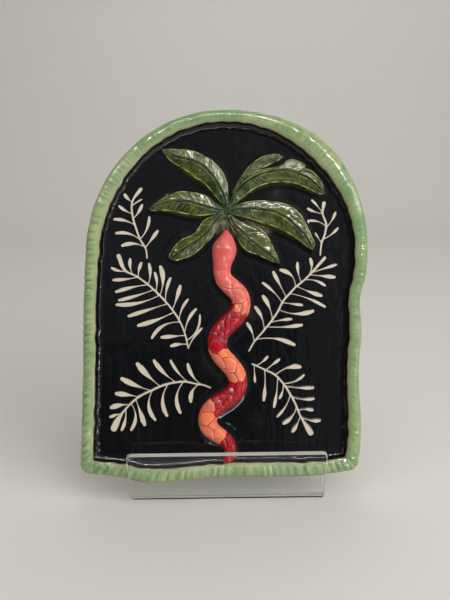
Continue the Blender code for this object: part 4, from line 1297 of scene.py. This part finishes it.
def makeRoom():
    r = Recipe("pale_floor", Roughness=0.55)
    where = r.node("ShaderNodeTexCoord").outputs["Object"]
    r.finish(r.mix(r.noise(where, 3.0, 2.0), shade(*room["floor"]), shade(*room["backdrop"])))
    # A floor that curves up into a backdrop: one profile carried from side to side.
    bend = np.linspace(0, np.pi / 2, 17)
    y = np.concatenate([[-3.0], room["depth"] + 0.5 * np.sin(bend), [room["depth"] + 0.5]])
    z = np.concatenate([[0.0], 0.5 * (1 - np.cos(bend)), [2.2]])
    x = np.linspace(-2.4, 2.4, 5)
    grid = np.dstack([*np.broadcast_arrays(x[None, :], y[:, None], z[:, None])])
    made = addPiece("floor", grid.reshape(-1, 3), gridQuads(len(y), len(x)), [r.material])


# small lamps whose glints sit on the glaze
sparkPlaces = {
    "a": (0.28, -0.52, 1.25), "b": (-0.38, -0.85, 1.10), "c": (0.60, -0.95, 0.95), "e": (0.05, -0.75, 1.30),
    "f": (0.85, -0.45, 0.70), "g": (-0.15, -0.35, 1.25), "h": (0.45, -0.80, 1.05), "d": (-0.75, -0.35, 0.95),
}
spark = ((0, 0, 0.13), 0.05, 0.05, 3.4, (1.0, 0.99, 0.97), "gloss")
# name: place, aimed at, width, height, watts, colour, what it shows in: plain light alone or gloss alone
lamps = {
    "window_right": ((0.94, -0.63, 0.62), (0, 0, 0.13), 0.90, 1.20, 14.0, (0.90, 0.94, 1.0), "plain"),
    "window_bar": ((0.90, -0.66, 0.60), (0, 0, 0.13), 0.16, 1.00, 2.2, (0.78, 0.87, 1.0), "gloss"),
    "window_left": ((-0.94, -0.63, 0.62), (0, 0, 0.13), 0.50, 0.90, 2.2, (0.94, 0.97, 1.0), "plain"),
    "ceiling": ((0.0, -0.30, 1.75), (0, 0, 0.10), 1.20, 0.80, 8.0, (1.0, 0.97, 0.93), "plain"),
    "front": ((0.50, -1.40, 1.00), (0, 0, 0.13), 1.00, 1.00, 9.4, (1.0, 0.98, 0.95), "plain"),
    "back": ((0.0, 0.80, 1.50), (0, 0.1, 0.1), 1.20, 0.60, 7.0, (1.0, 0.98, 0.95), "plain"),
    "haze_far": ((0.55, -1.50, 0.75), (0, 0, 0.13), 0.90, 1.30, 0.46, (0.86, 0.94, 1.0), "gloss"),
    "haze_near": ((0.70, -1.40, 0.75), (0, 0, 0.13), 0.80, 1.30, 0.40, (0.86, 0.94, 1.0), "gloss"),
    "haze_left": ((-0.45, -1.50, 0.95), (0, 0, 0.13), 1.10, 0.90, 0.24, (0.86, 0.94, 1.0), "gloss"),
    "haze_top": ((-0.30, -1.40, 1.10), (0, 0, 0.13), 1.20, 0.90, 0.24, (0.86, 0.94, 1.0), "gloss"),
    **{f"spark_{key}": (place, *spark) for key, place in sparkPlaces.items()},
    "low": ((0.50, -0.50, 0.10), (0, 0, 0.13), 0.06, 0.06, 0.6, (1.0, 0.99, 0.97), "gloss"),
    "strip": ((0.20, -1.20, 0.06), (0, 0, 0.2), 0.60, 0.05, 1.0, (0.92, 0.96, 1.0), "gloss"),
}


def makeLight():
    for name, (place, aim, width, height, watts, colour, shows) in lamps.items():
        data = bpy.data.lights.new(name, "AREA")
        data.shape, data.size, data.size_y = "RECTANGLE", width, height
        data.energy, data.color = watts, colour
        made = bpy.data.objects.new(name, data)
        made.visible_camera = False
        made.visible_glossy = shows != "plain"
        made.visible_diffuse = shows != "gloss"
        bpy.context.scene.collection.objects.link(made)
        turn = (Vector(aim) - Vector(place)).to_track_quat("-Z", "Y")
        made.matrix_world = Matrix.Translation(place) @ turn.to_matrix().to_4x4()
    world = bpy.data.worlds.new("room")
    world.use_nodes = True
    background = world.node_tree.nodes["Background"].inputs
    background["Color"].default_value = (0.93, 0.96, 1.0, 1)
    background["Strength"].default_value = 0.11
    bpy.context.scene.world = world


makeCamera()
makeRoom()
makeLight()
print("camera, room and light placed")
makeField(blackGlaze())
print("field with its fronds made")
makeBack(bareClay())
makeRim(rimGlaze())
print("rim and back made")
leafMaterial = leafGlaze()
for order, (leafName, leafShape) in enumerate(leaves.items()):
    makeLeaf(leafName, leafShape, order, leafMaterial)
makeHeart(leafMaterial)
makeSnake(snakeGlaze())
print("palm crown and snake made")
makeEasel(clearPlastic(), cutPlastic())
print("easel made")
